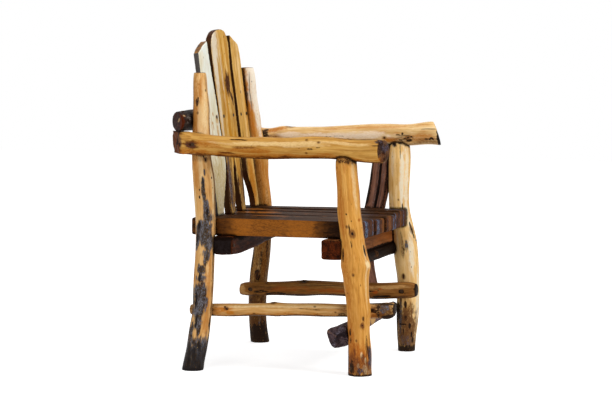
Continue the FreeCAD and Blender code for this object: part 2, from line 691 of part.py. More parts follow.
def make_nails():
    """Each group of nails: rows of head point, direction, length and the wood they join."""
    groups = {"slat_nails": [], "seat_nails": [], "arm_nails": [], "rail_nails": [],
              "stretcher_nails": [], "bearer_nails": [], "brace_nails": []}
    for name, x, width, shares in (
            ("back_slat_right", slat_right_x, slat_right_width, slat_right_nail_shares),
            ("back_slat_centre", slat_centre_x, slat_centre_width, slat_centre_nail_shares),
            ("back_slat_left", slat_left_x, slat_left_width, slat_left_nail_shares)):
        for share in shares:
            groups["slat_nails"].append((slat_front_point(x + width * share,
                                                          back_rail_z + slat_nail_up),
                                         slat_normal(), board_nail_length,
                                         (name, "back_rail")))
    for number, width in enumerate(plank_widths):
        x = plank_left(number) + width / 2
        for bearer, y in (("front_seat_bearer", front_bearer_y(x)),
                          ("rear_seat_bearer", rear_bearer_y())):
            groups["seat_nails"].append((vec(x, y, plank_top(number)), Z * -1, frame_nail_length,
                                         ("seat_plank_%d" % (number + 1), bearer)))
    for side, name in ((-1, "right"), (1, "left")):
        inward = X * -side
        leg, thick = stick_at(rear_leg_stations(side), arm_height, "z")
        groups["arm_nails"].append((crown(arm_stations(side), leg.y, "y", X * side), inward,
                                    arm_nail_length, ("arm_" + name, "rear_leg_" + name)))
        leg, thick = stick_at(rear_leg_stations(side), back_rail_z, "z")
        rail = back_rail_stations()
        groups["rail_nails"].append((crown(rail, leg.x, "x", Y), Y * -1, frame_nail_length,
                                     ("back_rail", "rear_leg_" + name)))
        arm, thick = arm_point(side, back_rail_y)
        top = crown(rail, arm.x - side * rail_nail_inset, "x", Z)
        groups["rail_nails"].append((top - vec(0, rail_nail_ahead, 0), Z * -1, frame_nail_length,
                                     ("back_rail", "arm_" + name)))
        stretcher = side_stretcher_stations(side)
        height = stretcher_right_z if side < 0 else stretcher_left_z
        for leg_name, leg_stations in (("rear_leg_", rear_leg_stations(side)),
                                       ("front_leg_", front_leg_stations(side))):
            leg, thick = stick_at(leg_stations, height, "z")
            groups["stretcher_nails"].append((crown(stretcher, leg.y, "y", inward), X * side,
                                              stick_nail_length,
                                              ("side_stretcher_" + name, leg_name + name)))
        low = low_stretcher_stations()
        groups["stretcher_nails"].append((crown(low, front_leg_x(side), "x", Y), Y * -1,
                                          stick_nail_length, ("low_stretcher", "front_leg_" + name)))
        x = front_leg_x(side) - side * front_cross_nail_inset
        groups["stretcher_nails"].append((crown(front_cross_stations(), x, "x", Y), Y * -1,
                                          board_nail_length,
                                          ("front_cross_log", "front_leg_" + name)))
        x = front_leg_x(side) - side * front_bearer_nail_inset
        groups["bearer_nails"].append((vec(x, front_bearer_y(x) + front_bearer_depth / 2,
                                           seat_under_z - front_bearer_height / 2),
                                       Y * -1, frame_nail_length,
                                       ("front_seat_bearer", "front_leg_" + name)))
        height = seat_under_z - rear_bearer_height / 2
        leg, thick = stick_at(rear_leg_stations(side), height, "z")
        groups["bearer_nails"].append((vec(leg.x - side * rear_bearer_nail_inset,
                                           rear_bearer_y() - rear_bearer_depth / 2, height),
                                       Y, frame_nail_length,
                                       ("rear_seat_bearer", "rear_leg_" + name)))
    brace = brace_middle_stations()
    stem = vec(0, brace_stem_gap / 2, 0)
    groups["brace_nails"].append((crown(brace, seat_under_z + brace_nail_up, "z", X) + stem, X * -1,
                                  board_nail_length,
                                  ("left_brace", "seat_plank_%d" % len(plank_widths))))
    stretcher, thick = stick_at(side_stretcher_stations(1), brace[0][0].y, "y")
    groups["brace_nails"].append((crown(brace, stretcher.z, "z", X) - stem, X * -1,
                                  board_nail_length, ("left_brace", "side_stretcher_left")))
    return groups


def main():
    pieces = make_pieces()
    holes = {name: [] for name in pieces}
    for name, rows in make_nails().items():
        nails = []
        for point, inward, length, joined in rows:
            nails.append(nail(point, inward, length))
            for piece in joined:
                holes[piece].append(nail_hole(point, inward, length))
        pieces[name] = Part.makeCompound(nails)
    for name, tools in holes.items():
        if tools:
            pieces[name] = pieces[name].cut(tools)
    os.makedirs("parts", exist_ok=True)
    for name, shape in pieces.items():
        solids = shape.Solids
        shape = solids[0] if len(solids) == 1 else Part.makeCompound(solids)
        shape.exportStep("parts/%s.step" % name)
        box = shape.BoundBox
        print("%-22s %2d solid(s) %7.1f cm3  x %7.1f %7.1f  y %7.1f %7.1f  z %7.1f %7.1f"
              % (name, len(solids), shape.Volume / 1000, box.XMin, box.XMax, box.YMin,
                 box.YMax, box.ZMin, box.ZMax))


main()
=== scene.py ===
import functools
import math
from types import SimpleNamespace

import bpy
import numpy as np
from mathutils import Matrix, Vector
from mathutils.bvhtree import BVHTree


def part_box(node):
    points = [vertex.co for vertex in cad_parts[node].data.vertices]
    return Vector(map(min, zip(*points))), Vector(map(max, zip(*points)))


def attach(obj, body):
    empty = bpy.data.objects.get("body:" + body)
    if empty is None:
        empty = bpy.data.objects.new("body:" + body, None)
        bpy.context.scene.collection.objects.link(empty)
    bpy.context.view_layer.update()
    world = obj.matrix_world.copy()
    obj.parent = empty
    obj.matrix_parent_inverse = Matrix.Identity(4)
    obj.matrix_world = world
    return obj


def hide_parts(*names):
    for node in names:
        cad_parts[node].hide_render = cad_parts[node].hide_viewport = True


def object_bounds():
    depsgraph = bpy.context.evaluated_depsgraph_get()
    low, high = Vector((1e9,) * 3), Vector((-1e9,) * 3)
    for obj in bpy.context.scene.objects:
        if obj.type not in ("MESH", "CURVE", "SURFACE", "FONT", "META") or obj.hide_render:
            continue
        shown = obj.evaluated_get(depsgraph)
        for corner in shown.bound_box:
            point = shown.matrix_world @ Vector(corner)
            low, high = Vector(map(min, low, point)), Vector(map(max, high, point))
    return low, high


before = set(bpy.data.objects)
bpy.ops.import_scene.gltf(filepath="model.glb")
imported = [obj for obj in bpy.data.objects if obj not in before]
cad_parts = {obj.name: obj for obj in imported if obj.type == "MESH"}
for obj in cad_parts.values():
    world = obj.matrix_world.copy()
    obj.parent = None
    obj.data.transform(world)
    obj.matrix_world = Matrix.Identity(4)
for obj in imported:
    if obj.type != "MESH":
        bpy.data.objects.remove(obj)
cad_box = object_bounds()
mm = 0.001


# FRONT LEGS
# Two stout saplings, peeled with a drawknife, so that they are round but never
# true. They stand on sawn feet, and each carries an arm on its hollowed top.
# Brushed varnish has gone golden on the near one and stayed straw on the far.

def in_scene(name, data):
    """A new object that holds the data, linked into the scene."""
    thing = bpy.data.objects.new(name, data)
    bpy.context.scene.collection.objects.link(thing)
    return thing


def even_copy(node, name, grid=2.0):
    """The piece's CAD solid as a mesh of small even faces, with its saw edges worn round."""
    solid = in_scene("solid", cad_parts[node].data.copy())
    even = solid.modifiers.new("even", "REMESH")
    even.mode = "VOXEL"
    even.voxel_size = grid * mm
    worn = solid.modifiers.new("worn", "SMOOTH")
    worn.factor = 0.5
    worn.iterations = 5
    graph = bpy.context.evaluated_depsgraph_get()
    mesh = bpy.data.meshes.new_from_object(solid.evaluated_get(graph), depsgraph=graph)
    bpy.data.objects.remove(solid)
    mesh.name = name
    mesh.materials.clear()
    mesh.shade_smooth()
    return in_scene(name, mesh)


def read(mesh):
    """Points and normals of a mesh as arrays."""
    points = np.empty(3 * len(mesh.vertices), dtype=np.float32)
    normals = np.empty(3 * len(mesh.vertices), dtype=np.float32)
    mesh.vertices.foreach_get("co", points)
    mesh.vertex_normals.foreach_get("vector", normals)
    return points.reshape(-1, 3).astype(float), normals.reshape(-1, 3).astype(float)


def rough(points, size, seed):
    """Smooth random heights, -1 to 1, over points in metres; size in mm, even or per axis.
    The large primes only scramble each cell's place into a value."""
    place = points / (np.asarray(size, dtype=float) * mm)
    cell = np.floor(place).astype(np.int64)
    share = place - cell
    share = share * share * (3 - 2 * share)
    total = np.zeros(len(place))
    for corner in np.ndindex(2, 2, 2):
        spot = (cell + corner) * (73856093, 19349663, 83492791)
        code = (spot[:, 0] ^ spot[:, 1] ^ spot[:, 2]) + seed * 7919
        code = ((code ^ (code >> 13)) * 1274126177) & 0xFFFFFFFF
        code = ((code ^ (code >> 15)) * 2246822519) & 0xFFFFFFFF
        value = ((code ^ (code >> 16)) & 0xFFFF) / 32767.5 - 1
        total += value * np.prod(np.where(corner, share, 1 - share), axis=1)
    return total


def log_grain(piece, axis):
    """How a log lies: its bent middle line taken out, and each point's turn round it in degrees.

    Turn 0 faces the near side, or the front on a log that runs across the chair. Turn 90 is
    the top of a lying log and the back of a standing one."""
    points, _ = read(piece.data)
    others = [i for i in range(3) if i != axis]
    along = points[:, axis]
    cuts = 46
    steps = np.linspace(along.min(), along.max(), cuts)
    reach = steps[1] - steps[0]
    rings = [points[np.abs(along - step) < reach][:, others] for step in steps]
    middles = np.array([(ring.min(axis=0) + ring.max(axis=0)) / 2 for ring in rings])
    # A slanting end pulls its rings aside, so they take the middle of the sound wood beside them.
    middles[:3] = middles[3]
    middles[-3:] = middles[-4]
    for _ in range(4):
        middles[1:-1] = (middles[:-2] + 2 * middles[1:-1] + middles[2:]) / 4
    first, second = (points[:, other] - np.interp(along, steps, middles[:, i])
                     for i, other in enumerate(others))
    radius = np.maximum(np.hypot(first, second), 1 * mm)
    return SimpleNamespace(
        grain=np.stack([first, second, along - along.min()], axis=1),
        way=np.degrees(np.arctan2(second, -first)), period=360, scale=radius / mm * math.pi / 180,
        across=np.stack([second, -first], axis=1) / radius[:, None],
        run=np.eye(3)[axis], side=np.zeros(3), length=np.ptp(along) / mm)


@functools.cache
def solid_tree(node):
    """A node's faces, ready to be searched for the nearest."""
    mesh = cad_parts[node].data
    corners = [vertex.co for vertex in mesh.vertices]
    return BVHTree.FromPolygons(corners, [tuple(face.vertices) for face in mesh.polygons])


def joint_shade(points, node, reach=9):
    """How near each point is to another piece, 0 to 1. The material darkens such places as painted shade
    where pieces meet.
    """
    close = np.zeros(len(points))
    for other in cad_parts:
        if other == node or other.endswith("nails"):
            continue
        low, high = np.array(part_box(other)) + [[-reach * mm], [reach * mm]]
        inside = np.flatnonzero(np.all((points > low) & (points < high), axis=1))
        for i in inside:
            distance = solid_tree(other).find_nearest(points[i], reach * mm)[3]
            if distance is not None:
                close[i] = max(close[i], 1 - distance / (reach * mm))
    return close


def weather(piece, node, laid, seed, knots=(), cracks=(), black=(), grey=(), pale=(), warm=(),
            brown=(), swellings=(), lumps=0.7, ripple=0.5, bark=0.0, edge=0.0, chop=0.0, pins=8):
    """Works the surface: tool facets, fibres, knots, drying cracks, and where it is discoloured.

    Places are mm from the low end, then degrees round a log or mm across a board.
    knots: place, radius, height. cracks: place, half length, width, depth. The coloured
    marks: place, half length, half width, strength. swellings: the same, height last. The pale
    marks are partly real paleness and partly painted highlights, and some brown and black ones
    are painted shade.
    lumps, ripple, bark and chop are heights in mm: of knife facets, of waves along the grain,
    of bark ridges and of hatchet cuts at the ends. edge darkens a board's bark edges, and
    pins is how many small knots are scattered."""
    mesh = piece.data
    points, normals = read(mesh)
    grain = laid.grain.copy()
    # A face that looks along the piece is an end, one that looks across a board is its side.
    end = np.clip((np.abs(normals @ laid.run) - 0.62) / 0.2, 0, 1)
    sides = np.clip((np.abs(normals @ laid.side) - 0.45) / 0.3, 0, 1)

    def away(along, turn):
        """Distances in mm from a place, along the grain and round or across it."""
        around = (laid.way - turn + laid.period / 2) % laid.period - laid.period / 2
        return laid.grain[:, 2] / mm - along, around * laid.scale

    facets, waves, fibres, saw_marks = (34, 34, 80), (13, 13, 110), (3.5, 3.5, 40), (12, 12, 30)
    height = lumps * rough(grain, facets, seed) + ripple * rough(grain, waves, seed + 1)
    height += 0.15 * rough(grain, fibres, seed + 2)
    height += 0.6 * sides * rough(grain, saw_marks, seed + 3)
    for along, turn, length, width, raised in swellings:
        run, side = away(along, turn)
        height += raised * np.exp(-(run / length) ** 2 - (side / width) ** 2)
    if bark:
        furrows, scales = (7, 7, 38), (3.5, 3.5, 11)
        ridge = 1 - np.abs(rough(grain, furrows, seed + 4))
        height += bark * (ridge - 0.7) + 0.4 * bark * rough(grain, scales, seed + 5)
    chop_reach, chip, splinter = 24, 13, 5
    from_end = np.minimum(grain[:, 2], laid.length * mm - grain[:, 2])
    chopped = np.clip(1 - from_end / (chop_reach * mm), 0, 1)
    height += chop * chopped * (rough(points, chip, seed + 6) + 0.4 * rough(points, splinter, seed + 7))

    # A knot stands up in a ring, is sunk at its pith, and pushes the grain aside.
    luck = np.random.default_rng(seed)
    span = min(laid.period, 2 * np.abs(laid.way).max())
    small = [(luck.uniform(0.04, 0.96) * laid.length, luck.uniform(-0.5, 0.5) * span,
              luck.uniform(1.3, 3.2), luck.uniform(0.1, 0.4)) for _ in range(pins)]
    wobble = 0.35 * rough(grain, (7, 7, 22), seed + 8) + 0.25 * rough(grain, (3, 3, 9), seed + 9)
    knot = np.zeros(len(points))
    for along, turn, radius, raised in [*knots, *small]:
        run, side = away(along, turn)
        reach = np.hypot(run / 1.3, side) / radius + 0.3 * wobble
        height += raised * np.exp(-((reach - 0.95) / 0.45) ** 2)
        height -= 0.7 * raised * np.exp(-(reach / 0.45) ** 2)
        knot = np.maximum(knot, np.clip(1 - reach / 2.2, 0, 1))
        shove = 0.6 * np.exp(-(reach / 1.7) ** 2) * side * mm
        grain[:, :2] -= shove[:, None] * laid.across

    # A drying crack tapers to both ends and wanders by a millimetre or two.
    split = np.zeros(len(points))
    drift = 1.6 * rough(points, 24, seed + 10)
    for along, turn, length, width, depth in cracks:
        run, side = away(along, turn)
        taper = np.clip(1 - (run / length) ** 2, 0, 1) ** 0.5
        groove = taper * np.clip(1.4 - np.abs(side + drift) / width, 0, 1)
        height -= depth * groove
        split = np.maximum(split, np.clip(groove, 0, 1))
    # A sawn end is flatter than the log's skin, with fine tooth marks; a chopped one isn't.
    height *= 1 - (0.7 if chop == 0 else 0) * end
    height += 0.35 * end * rough(points, 5, seed + 11)
    points = np.clip(points + normals * (height * mm)[:, None], cad_box[0], cad_box[1])
    mesh.vertices.foreach_set("co", points.ravel())

    layers = {"cut": end, "knot": knot, "split": split}
    # Nearness to other pieces, kept off sawn ends, is darkened in the material as painted shade.
    layers["corner"] = joint_shade(points, node) * (1 - end * (1 - sides))
    for kind, rows in dict(black=black, grey=grey, pale=pale, warm=warm, brown=brown).items():
        marked = np.zeros(len(points))
        for along, turn, length, width, strength in rows:
            run, side = away(along, turn)
            reach = np.hypot(run / length, side / width) + wobble
            marked = np.maximum(marked, strength * np.clip((1.35 - reach) / 0.7, 0, 1))
        layers[kind] = marked
    # Pale marks, partly painted highlights, stay off sawn ends and board sides.
    layers["pale"] *= (1 - end) * (1 - sides)
    worn = 0.75 + 0.25 * rough(grain, (9, 9, 40), seed + 12)
    layers["black"] = np.maximum(layers["black"], edge * sides * worn)
    mesh.attributes.new("grain", "FLOAT_VECTOR", "POINT").data.foreach_set("vector", grain.ravel())
    for name, values in layers.items():
        mesh.attributes.new(name, "FLOAT", "POINT").data.foreach_set("value", values)
    mesh.update()


def colour(value):
    """Linear colour from an sRGB hex value."""
    parts = [int(value[i:i + 2], 16) / 255 for i in (1, 3, 5)]
    return [p / 12.92 if p <= 0.04045 else ((p + 0.055) / 1.055) ** 2.4 for p in parts] + [1]


def add(tree, kind, inputs, output=0, stops=(), **settings):
    """Adds a node and gives back one output. An input is a value or another node's output.
    stops are a ramp's two ends, then what lies between them, each in a colour or a grey."""
    node = tree.nodes.new("ShaderNode" + kind)
    for name, value in settings.items():
        setattr(node, name, value)
    for socket, value in inputs.items():
        if isinstance(value, bpy.types.NodeSocket):
            tree.links.new(value, node.inputs[socket])
        else:
            node.inputs[socket].default_value = value
    for count, (place, tone) in enumerate(stops):
        ramp = node.color_ramp.elements
        stop = ramp[count] if count < 2 else ramp.new(place)
        stop.position = place
        stop.color = tone if isinstance(tone, list) else (tone, tone, tone, 1)
    return node.outputs[output] if node.outputs else node


def emptied(owner):
    """Clears the nodes of a material or world. What it gives back adds new ones to it."""
    owner.use_nodes = True
    owner.node_tree.nodes.clear()
    return functools.partial(add, owner.node_tree)


def varnished_wood(name, light, middle, deep, end, black="#1b0f08", grey="#6b6f7c", pale="#ecd2a0",
                   warm="#b5681c", brown="#5c3a1e", rings=None, mottled=0.6, flecked=0.8, gloss=0.46,
                   shine=0.06, coat=0.03):
    """Wood under brushed varnish. Streaks 6 mm wide wander along the stick over fibres 1 mm
    wide, which is coarser than real ones so that they show. Broad patches are deeper or paler,
    and small dark flecks are sparse. Marks, knots, cracks and the painted shade where pieces
    meet come from the mesh. Some marks are painted highlights and painted shade as well.
    The gloss is low and broken, as on oiled or thinly varnished wood that dust has dulled.
    rings are a board's heart, across and behind it, and the spacing of its year rings in mm."""
    material = bpy.data.materials.new(name)
    new = emptied(material)
    luck = sum(map(ord, name)) % 97

    grain = new("Attribute", {}, "Vector", attribute_name="grain")
    cut, knot, split, corner = (new("Attribute", {}, "Fac", attribute_name=layer)
                                for layer in ("cut", "knot", "split", "corner"))
    bends, sway = (40, 40, 150), (16 * mm, 16 * mm, 0)
    drift = new("VectorMath", {0: grain, 1: [1 / (s * mm) for s in bends]}, operation="MULTIPLY")
    drift = new("TexNoise", {"Vector": drift, "W": luck, "Scale": 1.0, "Detail": 2.0}, "Color",
                noise_dimensions="4D")
    wander = new("VectorMath", {0: drift, 1: sway, 2: grain}, operation="MULTIPLY_ADD")
    fields = {}
    for kind, size, detail in (("broad", (42, 42, 210), 3), ("patch", (14, 14, 40), 4),
                               ("streak", (6, 6, 95), 4), ("fibre", (1.1, 1.1, 26), 2),
                               ("grit", (2.4, 2.4, 6.5), 3)):
        scaled = new("VectorMath", {0: wander, 1: [1 / (s * mm) for s in size]}, operation="MULTIPLY")
        field = {"Vector": scaled, "W": luck + len(fields), "Scale": 1.0, "Detail": detail,
                 "Roughness": 0.62}
        fields[kind] = new("TexNoise", field, "Fac", noise_dimensions="4D")
    broad, patch, streak, fibre, grit = fields.values()

    tint = new("ValToRGB", {"Fac": streak},
               stops=((0.30, colour(light)), (0.74, colour(deep)), (0.51, colour(middle))))
    if rings:
        across, behind, spacing = rings
        heart = new("VectorMath", {0: grain, 1: (-across * mm, behind * mm, 0)}, operation="ADD")
        log_taper = 0.035
        heart = new("VectorMath", {0: heart, 1: (1, 1, log_taper)}, operation="MULTIPLY")
        year = new("VectorMath", {0: heart}, "Value", operation="LENGTH")
        year = new("Math", {0: year, 1: 1 / (spacing * mm), 2: streak}, operation="MULTIPLY_ADD")
        year = new("Math", {0: broad, 1: 2.4, 2: year}, operation="MULTIPLY_ADD")
        year = new("Math", {0: year}, operation="FRACT")
        band = new("ValToRGB", {"Fac": year},
                   stops=((0.0, 0), (0.97, 0.05), (0.55, 0.2), (0.86, 0.7)))
        tint = new("Mix", {0: band, 6: tint, 7: colour(deep)}, 2, data_type="RGBA")
    # Each row: the field, where its tint starts and is full, how strong it is, and its colour.
    for source, low, high, most, tone in (
            (broad, 0.48, 0.68, 0.7 * mottled, deep), (patch, 0.55, 0.72, 0.7 * mottled, light),
            (patch, 0.46, 0.30, 0.7 * mottled, warm), (fibre, 0.48, 0.74, 0.3, deep),
            (grit, 0.58, 0.78, 0.5 * mottled, brown)):
        share = new("MapRange", {"Value": source, "From Min": low, "From Max": high, "To Max": most},
                    interpolation_type="SMOOTHSTEP")
        tint = new("Mix", {0: share, 6: tint, 7: colour(tone)}, 2, data_type="RGBA")

    # Sawn ends have year rings, checks that run out from the pith, and trodden-in dirt.
    ring_gap = 4.5
    disc = new("VectorMath", {0: grain, 1: (1, 1, 0)}, operation="MULTIPLY")
    years = new("VectorMath", {0: disc}, "Value", operation="LENGTH")
    years = new("Math", {0: years, 1: 1 / (ring_gap * mm), 2: patch}, operation="MULTIPLY_ADD")
    years = new("Math", {0: years}, operation="FRACT")
    checks = new("VectorMath", {0: disc}, operation="NORMALIZE")
    checks = new("TexNoise", {"Vector": checks, "Scale": 5.0, "Detail": 2.0}, "Fac")
    checks = new("MapRange", {"Value": checks, "From Min": 0.60, "From Max": 0.67})
    checks = new("Math", {0: years, 1: 0.4, 2: checks}, operation="MULTIPLY_ADD")
    dirt = new("MapRange", {"Value": patch, "From Min": 0.42, "From Max": 0.64, "To Max": 0.7})
    checks = new("Math", {0: checks, 1: dirt}, operation="ADD", use_clamp=True)
    sawn = new("Mix", {0: checks, 6: colour(end), 7: colour(black)}, 2, data_type="RGBA")
    tint = new("Mix", {0: cut, 6: tint, 7: sawn}, 2, data_type="RGBA")

    # A mark is drawn where its share, torn ragged along the fibres, is high enough.
    ragged = -0.75
    for source, share in ((fibre, 0.5), (streak, 0.8), (grit, 2.2)):
        ragged = new("Math", {0: source, 1: share, 2: ragged}, operation="MULTIPLY_ADD")
    smoky = new("Math", {0: patch, 1: 0.6, 2: grit}, operation="MULTIPLY_ADD")
    smoky = new("ValToRGB", {"Fac": smoky}, stops=((0.75, colour(black)), (0.97, colour(grey))))
    # Pale marks are partly painted highlights, and some brown and black marks are painted shade.
    shares = {}
    for mark, low, high, tone in (("warm", 0.0, 1.0, colour(warm)), ("pale", 0.0, 1.0, colour(pale)),
                                  ("brown", 0.0, 0.95, colour(brown)), ("grey", 0.06, 0.7, smoky),
                                  ("black", 0.25, 0.65, colour(black))):
        drawn = new("Attribute", {}, "Fac", attribute_name=mark)
        drawn = new("Math", {0: drawn, 1: ragged}, operation="MULTIPLY")
        reach = {"Value": drawn, "From Min": low, "From Max": high, "To Max": 0.95}
        shares[mark] = new("MapRange", reach, interpolation_type="SMOOTHSTEP")
        tint = new("Mix", {0: shares[mark], 6: tint, 7: tone}, 2, data_type="RGBA")

    # Knots have a brown rim and a black pith.
    ring = new("ValToRGB", {"Fac": knot}, stops=((0.22, 0), (0.9, 1), (0.58, 0.75), (0.7, 0.4)))
    tint = new("Mix", {0: ring, 6: tint, 7: colour(brown)}, 2, data_type="RGBA")
    pith = new("MapRange", {"Value": knot, "From Min": 0.62, "From Max": 0.92})
    tint = new("Mix", {0: pith, 6: tint, 7: colour(black)}, 2, data_type="RGBA")

    # One cell in three of a scattered pattern holds a small dark fleck.
    fleck_gap = (7, 7, 16)
    cells = new("VectorMath", {0: grain, 1: [1 / (s * mm) for s in fleck_gap]}, operation="MULTIPLY")
    spread = new("TexVoronoi", {"Vector": cells, "Scale": 1.0}, "Distance")
    chance = new("TexVoronoi", {"Vector": cells, "Scale": 1.0}, "Color")
    chance = new("MapRange", {"Value": chance, "From Min": 0.62, "From Max": 0.95, "To Max": 0.26})
    fleck = new("Math", {0: chance, 1: spread}, operation="SUBTRACT")
    fleck = new("MapRange", {"Value": fleck, "From Min": 0.0, "From Max": 0.12, "To Max": flecked})
    tint = new("Mix", {0: fleck, 6: tint, 7: colour(brown)}, 2, data_type="RGBA")

    # Cracks are black, and so is the painted shade where pieces meet.
    tint = new("Mix", {0: split, 6: tint, 7: colour(black)}, 2, data_type="RGBA")
    corner = new("Math", {0: corner, 1: ragged}, operation="MULTIPLY")
    corner = new("MapRange", {"Value": corner, "From Min": 0.1, "From Max": 0.8, "To Max": 0.9},
                 interpolation_type="SMOOTHSTEP")
    tint = new("Mix", {0: corner, 6: tint, 7: colour(black)}, 2, data_type="RGBA")

    # Streaks and fibres stand up, flecks and knots lie deeper, and black stain is duller.
    dull = new("Math", {0: streak, 1: 0.18, 2: gloss - 0.06}, operation="MULTIPLY_ADD")
    dull = new("Math", {0: shares["black"], 1: 0.15, 2: dull}, operation="MULTIPLY_ADD")
    relief = fibre
    for source, raised in ((streak, 0.7), (fleck, -0.7), (ring, -0.5)):
        relief = new("Math", {0: source, 1: raised, 2: relief}, operation="MULTIPLY_ADD")
    uneven = new("Bump", {"Height": relief, "Strength": 0.6, "Distance": 0.5 * mm})
    surface = new("BsdfPrincipled", {
        "Base Color": tint, "Roughness": dull, "Normal": uneven, "IOR": 1.5, "Specular IOR Level": shine,
        "Coat Weight": coat, "Coat Roughness": 0.35, "Coat IOR": 1.5})
    new("OutputMaterial", {"Surface": surface})
    return material


def dress(piece, node, material):
    """Puts the finished piece in its node's stead."""
    piece.data.materials.append(material)
    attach(piece, "root")
    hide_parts(node)


def add_log(node, name, slot, axis, material, **worked):
    """A log that lies along an axis, from its even copy to its finish. worked is for weather."""
    log = even_copy(node, name)
    weather(log, node, log_grain(log, axis), **worked)
    dress(log, node, material)


# Brushed varnish that has gone golden: warm streaks and a soft, broken gloss.
golden = varnished_wood("golden_brushed_varnish_on_peeled_log", "#e5ad5b", "#d29442", "#b0722e", "#6a4526",
                        grey="#6a6070", brown="#6b3a1c", pale="#f0d4a0", warm="#ac5e1c")
# The long pale rows on the side that faces the front softbox are painted highlights; the pale spots at the
# foot are real. The brown rows along both edges and the dark ring under the arm are painted shade.
add_log("front_leg_right", "near_front_leg", "golden_log", 2, golden, seed=11,
        swellings=((303, 0, 13, 400, 1.5), (303, -75, 14, 22, 2.2), (323, 40, 22, 16, 1.5),
                   (270, 30, 16, 400, -1.0)),
        knots=((392, -18, 6.5, 0.9), (280, -6, 3, 0.3), (141, -34, 4, 0.4), (334, 60, 5, 0.6),
               (500, 120, 6, 0.8), (230, 150, 5, 0.6)),
        cracks=((95, -80, 28, 1.2, 1.0), (66, -50, 36, 1.1, 0.9), (450, 160, 90, 1.2, 1.4)),
        black=((590, -10, 7, 60, 0.5), (446, 0, 3, 2.5, 0.8), (427, -21, 3, 2, 0.5), (405, -7, 12, 2, 0.7),
               (364, -7, 14, 2.5, 0.6), (346, -72, 12, 3.5, 1), (334, 40, 20, 4, 0.9),
               (160, -39, 7, 2.5, 0.8), (90, -58, 26, 2, 0.8), (122, 40, 12, 5, 0.7), (98, 34, 8, 3, 0.7),
               (24, 26, 22, 10, 0.6), (12, -8, 12, 26, 0.35), (45, 70, 45, 10, 0.8), (0, 0, 7, 400, 0.9)),
        grey=((344, -74, 14, 4, 0.8), (46, -80, 30, 9, 0.9), (16, -14, 10, 9, 0.7)),
        pale=((525, -52, 80, 6, 0.5), (308, -74, 11, 9, 0.9), (270, -66, 90, 4, 0.5),
              (18, -44, 13, 8, 0.9), (30, -8, 7, 4, 0.9), (44, -44, 8, 3, 0.9), (22, 34, 6, 4, 0.9),
              (60, -24, 9, 3, 0.8), (10, -64, 6, 4, 0.8)),
        warm=((429, -66, 4, 6, 0.9), (480, 30, 120, 12, 0.5), (260, 30, 120, 14, 0.5),
              (90, 40, 90, 16, 0.7), (50, 0, 40, 34, 0.9)),
        brown=((594, 0, 14, 300, 0.5), (392, -18, 16, 10, 0.4), (141, -34, 12, 7, 0.6),
               (160, -39, 9, 5, 0.5), (34, 20, 36, 26, 0.7), (20, 0, 26, 300, 0.65), (52, -30, 10, 6, 0.8),
               (40, 6, 8, 5, 0.8), (66, 8, 12, 4, 0.7), (30, -62, 10, 5, 0.8), (14, 16, 8, 6, 0.8),
               (62, -64, 14, 4, 0.7), (300, 82, 300, 8, 0.6), (470, -100, 130, 7, 0.5)))

# The same varnish in the shade: straw wood with paler streaks, partly sapwood and partly painted
# highlights, and a dirty foot.
straw = varnished_wood("straw_brushed_varnish_on_peeled_log", "#ffdea6", "#f2c67e", "#cf9a52", "#6a4526",
                       pale="#f2e4c8", brown="#664022", warm="#c98c42")
# The brown rows along both edges, the dark rim under the arm and the black patch low on its back edge are
# painted shade.
add_log("front_leg_left", "far_front_leg", "pale_log", 2, straw, seed=23,
        knots=((360, -66, 7, 1.0), (223, 7, 5, 0.5), (104, -2, 6, 0.6), (450, 110, 6, 0.8)),
        cracks=((592, -18, 26, 1.2, 1.6), (300, 140, 80, 1.2, 1.4)),
        black=((611, 17, 6, 7, 0.8), (618, -19, 6, 70, 0.7), (430, -32, 8, 2, 0.9), (370, -60, 12, 3, 1),
               (353, -66, 10, 4, 0.9), (341, -72, 8, 4, 1), (328, -92, 2.5, 9, 0.8), (223, 7, 8, 3, 0.8),
               (300, -5, 16, 2, 0.6), (141, -2, 9, 4, 0.9), (99, -4, 7, 5, 0.9), (120, 44, 26, 9, 0.8),
               (82, 10, 2.5, 12, 0.9), (78, -27, 8, 3.5, 1), (60, 6, 12, 2, 0.8), (51, -44, 9, 3.5, 0.9),
               (35, -54, 8, 4, 0.9), (17, 14, 9, 9, 0.5), (4, 0, 16, 400, 0.8), (60, 62, 60, 8, 0.8)),
        grey=((609, 17, 9, 9, 0.7), (313, -21, 18, 5, 0.7), (120, 24, 70, 6, 0.5), (30, -10, 26, 18, 0.3)),
        pale=((560, 24, 40, 6, 0.4), (420, 30, 40, 6, 0.4), (510, -28, 95, 6, 0.9),
              (480, -58, 130, 8, 0.7), (290, -42, 55, 10, 0.8), (150, -75, 90, 9, 0.7)),
        warm=((530, 50, 60, 5, 0.5), (429, 28, 14, 8, 0.5), (500, -4, 14, 6, 0.4), (328, -95, 10, 8, 0.9),
              (75, -10, 70, 14, 0.8)),
        brown=((210, 74, 190, 9, 0.7), (60, 0, 70, 50, 0.95), (120, -30, 30, 6, 0.7),
               (150, 24, 40, 5, 0.6), (10, 0, 30, 300, 0.8), (312, -2, 34, 6, 0.6),
               (300, -110, 300, 8, 0.7)))
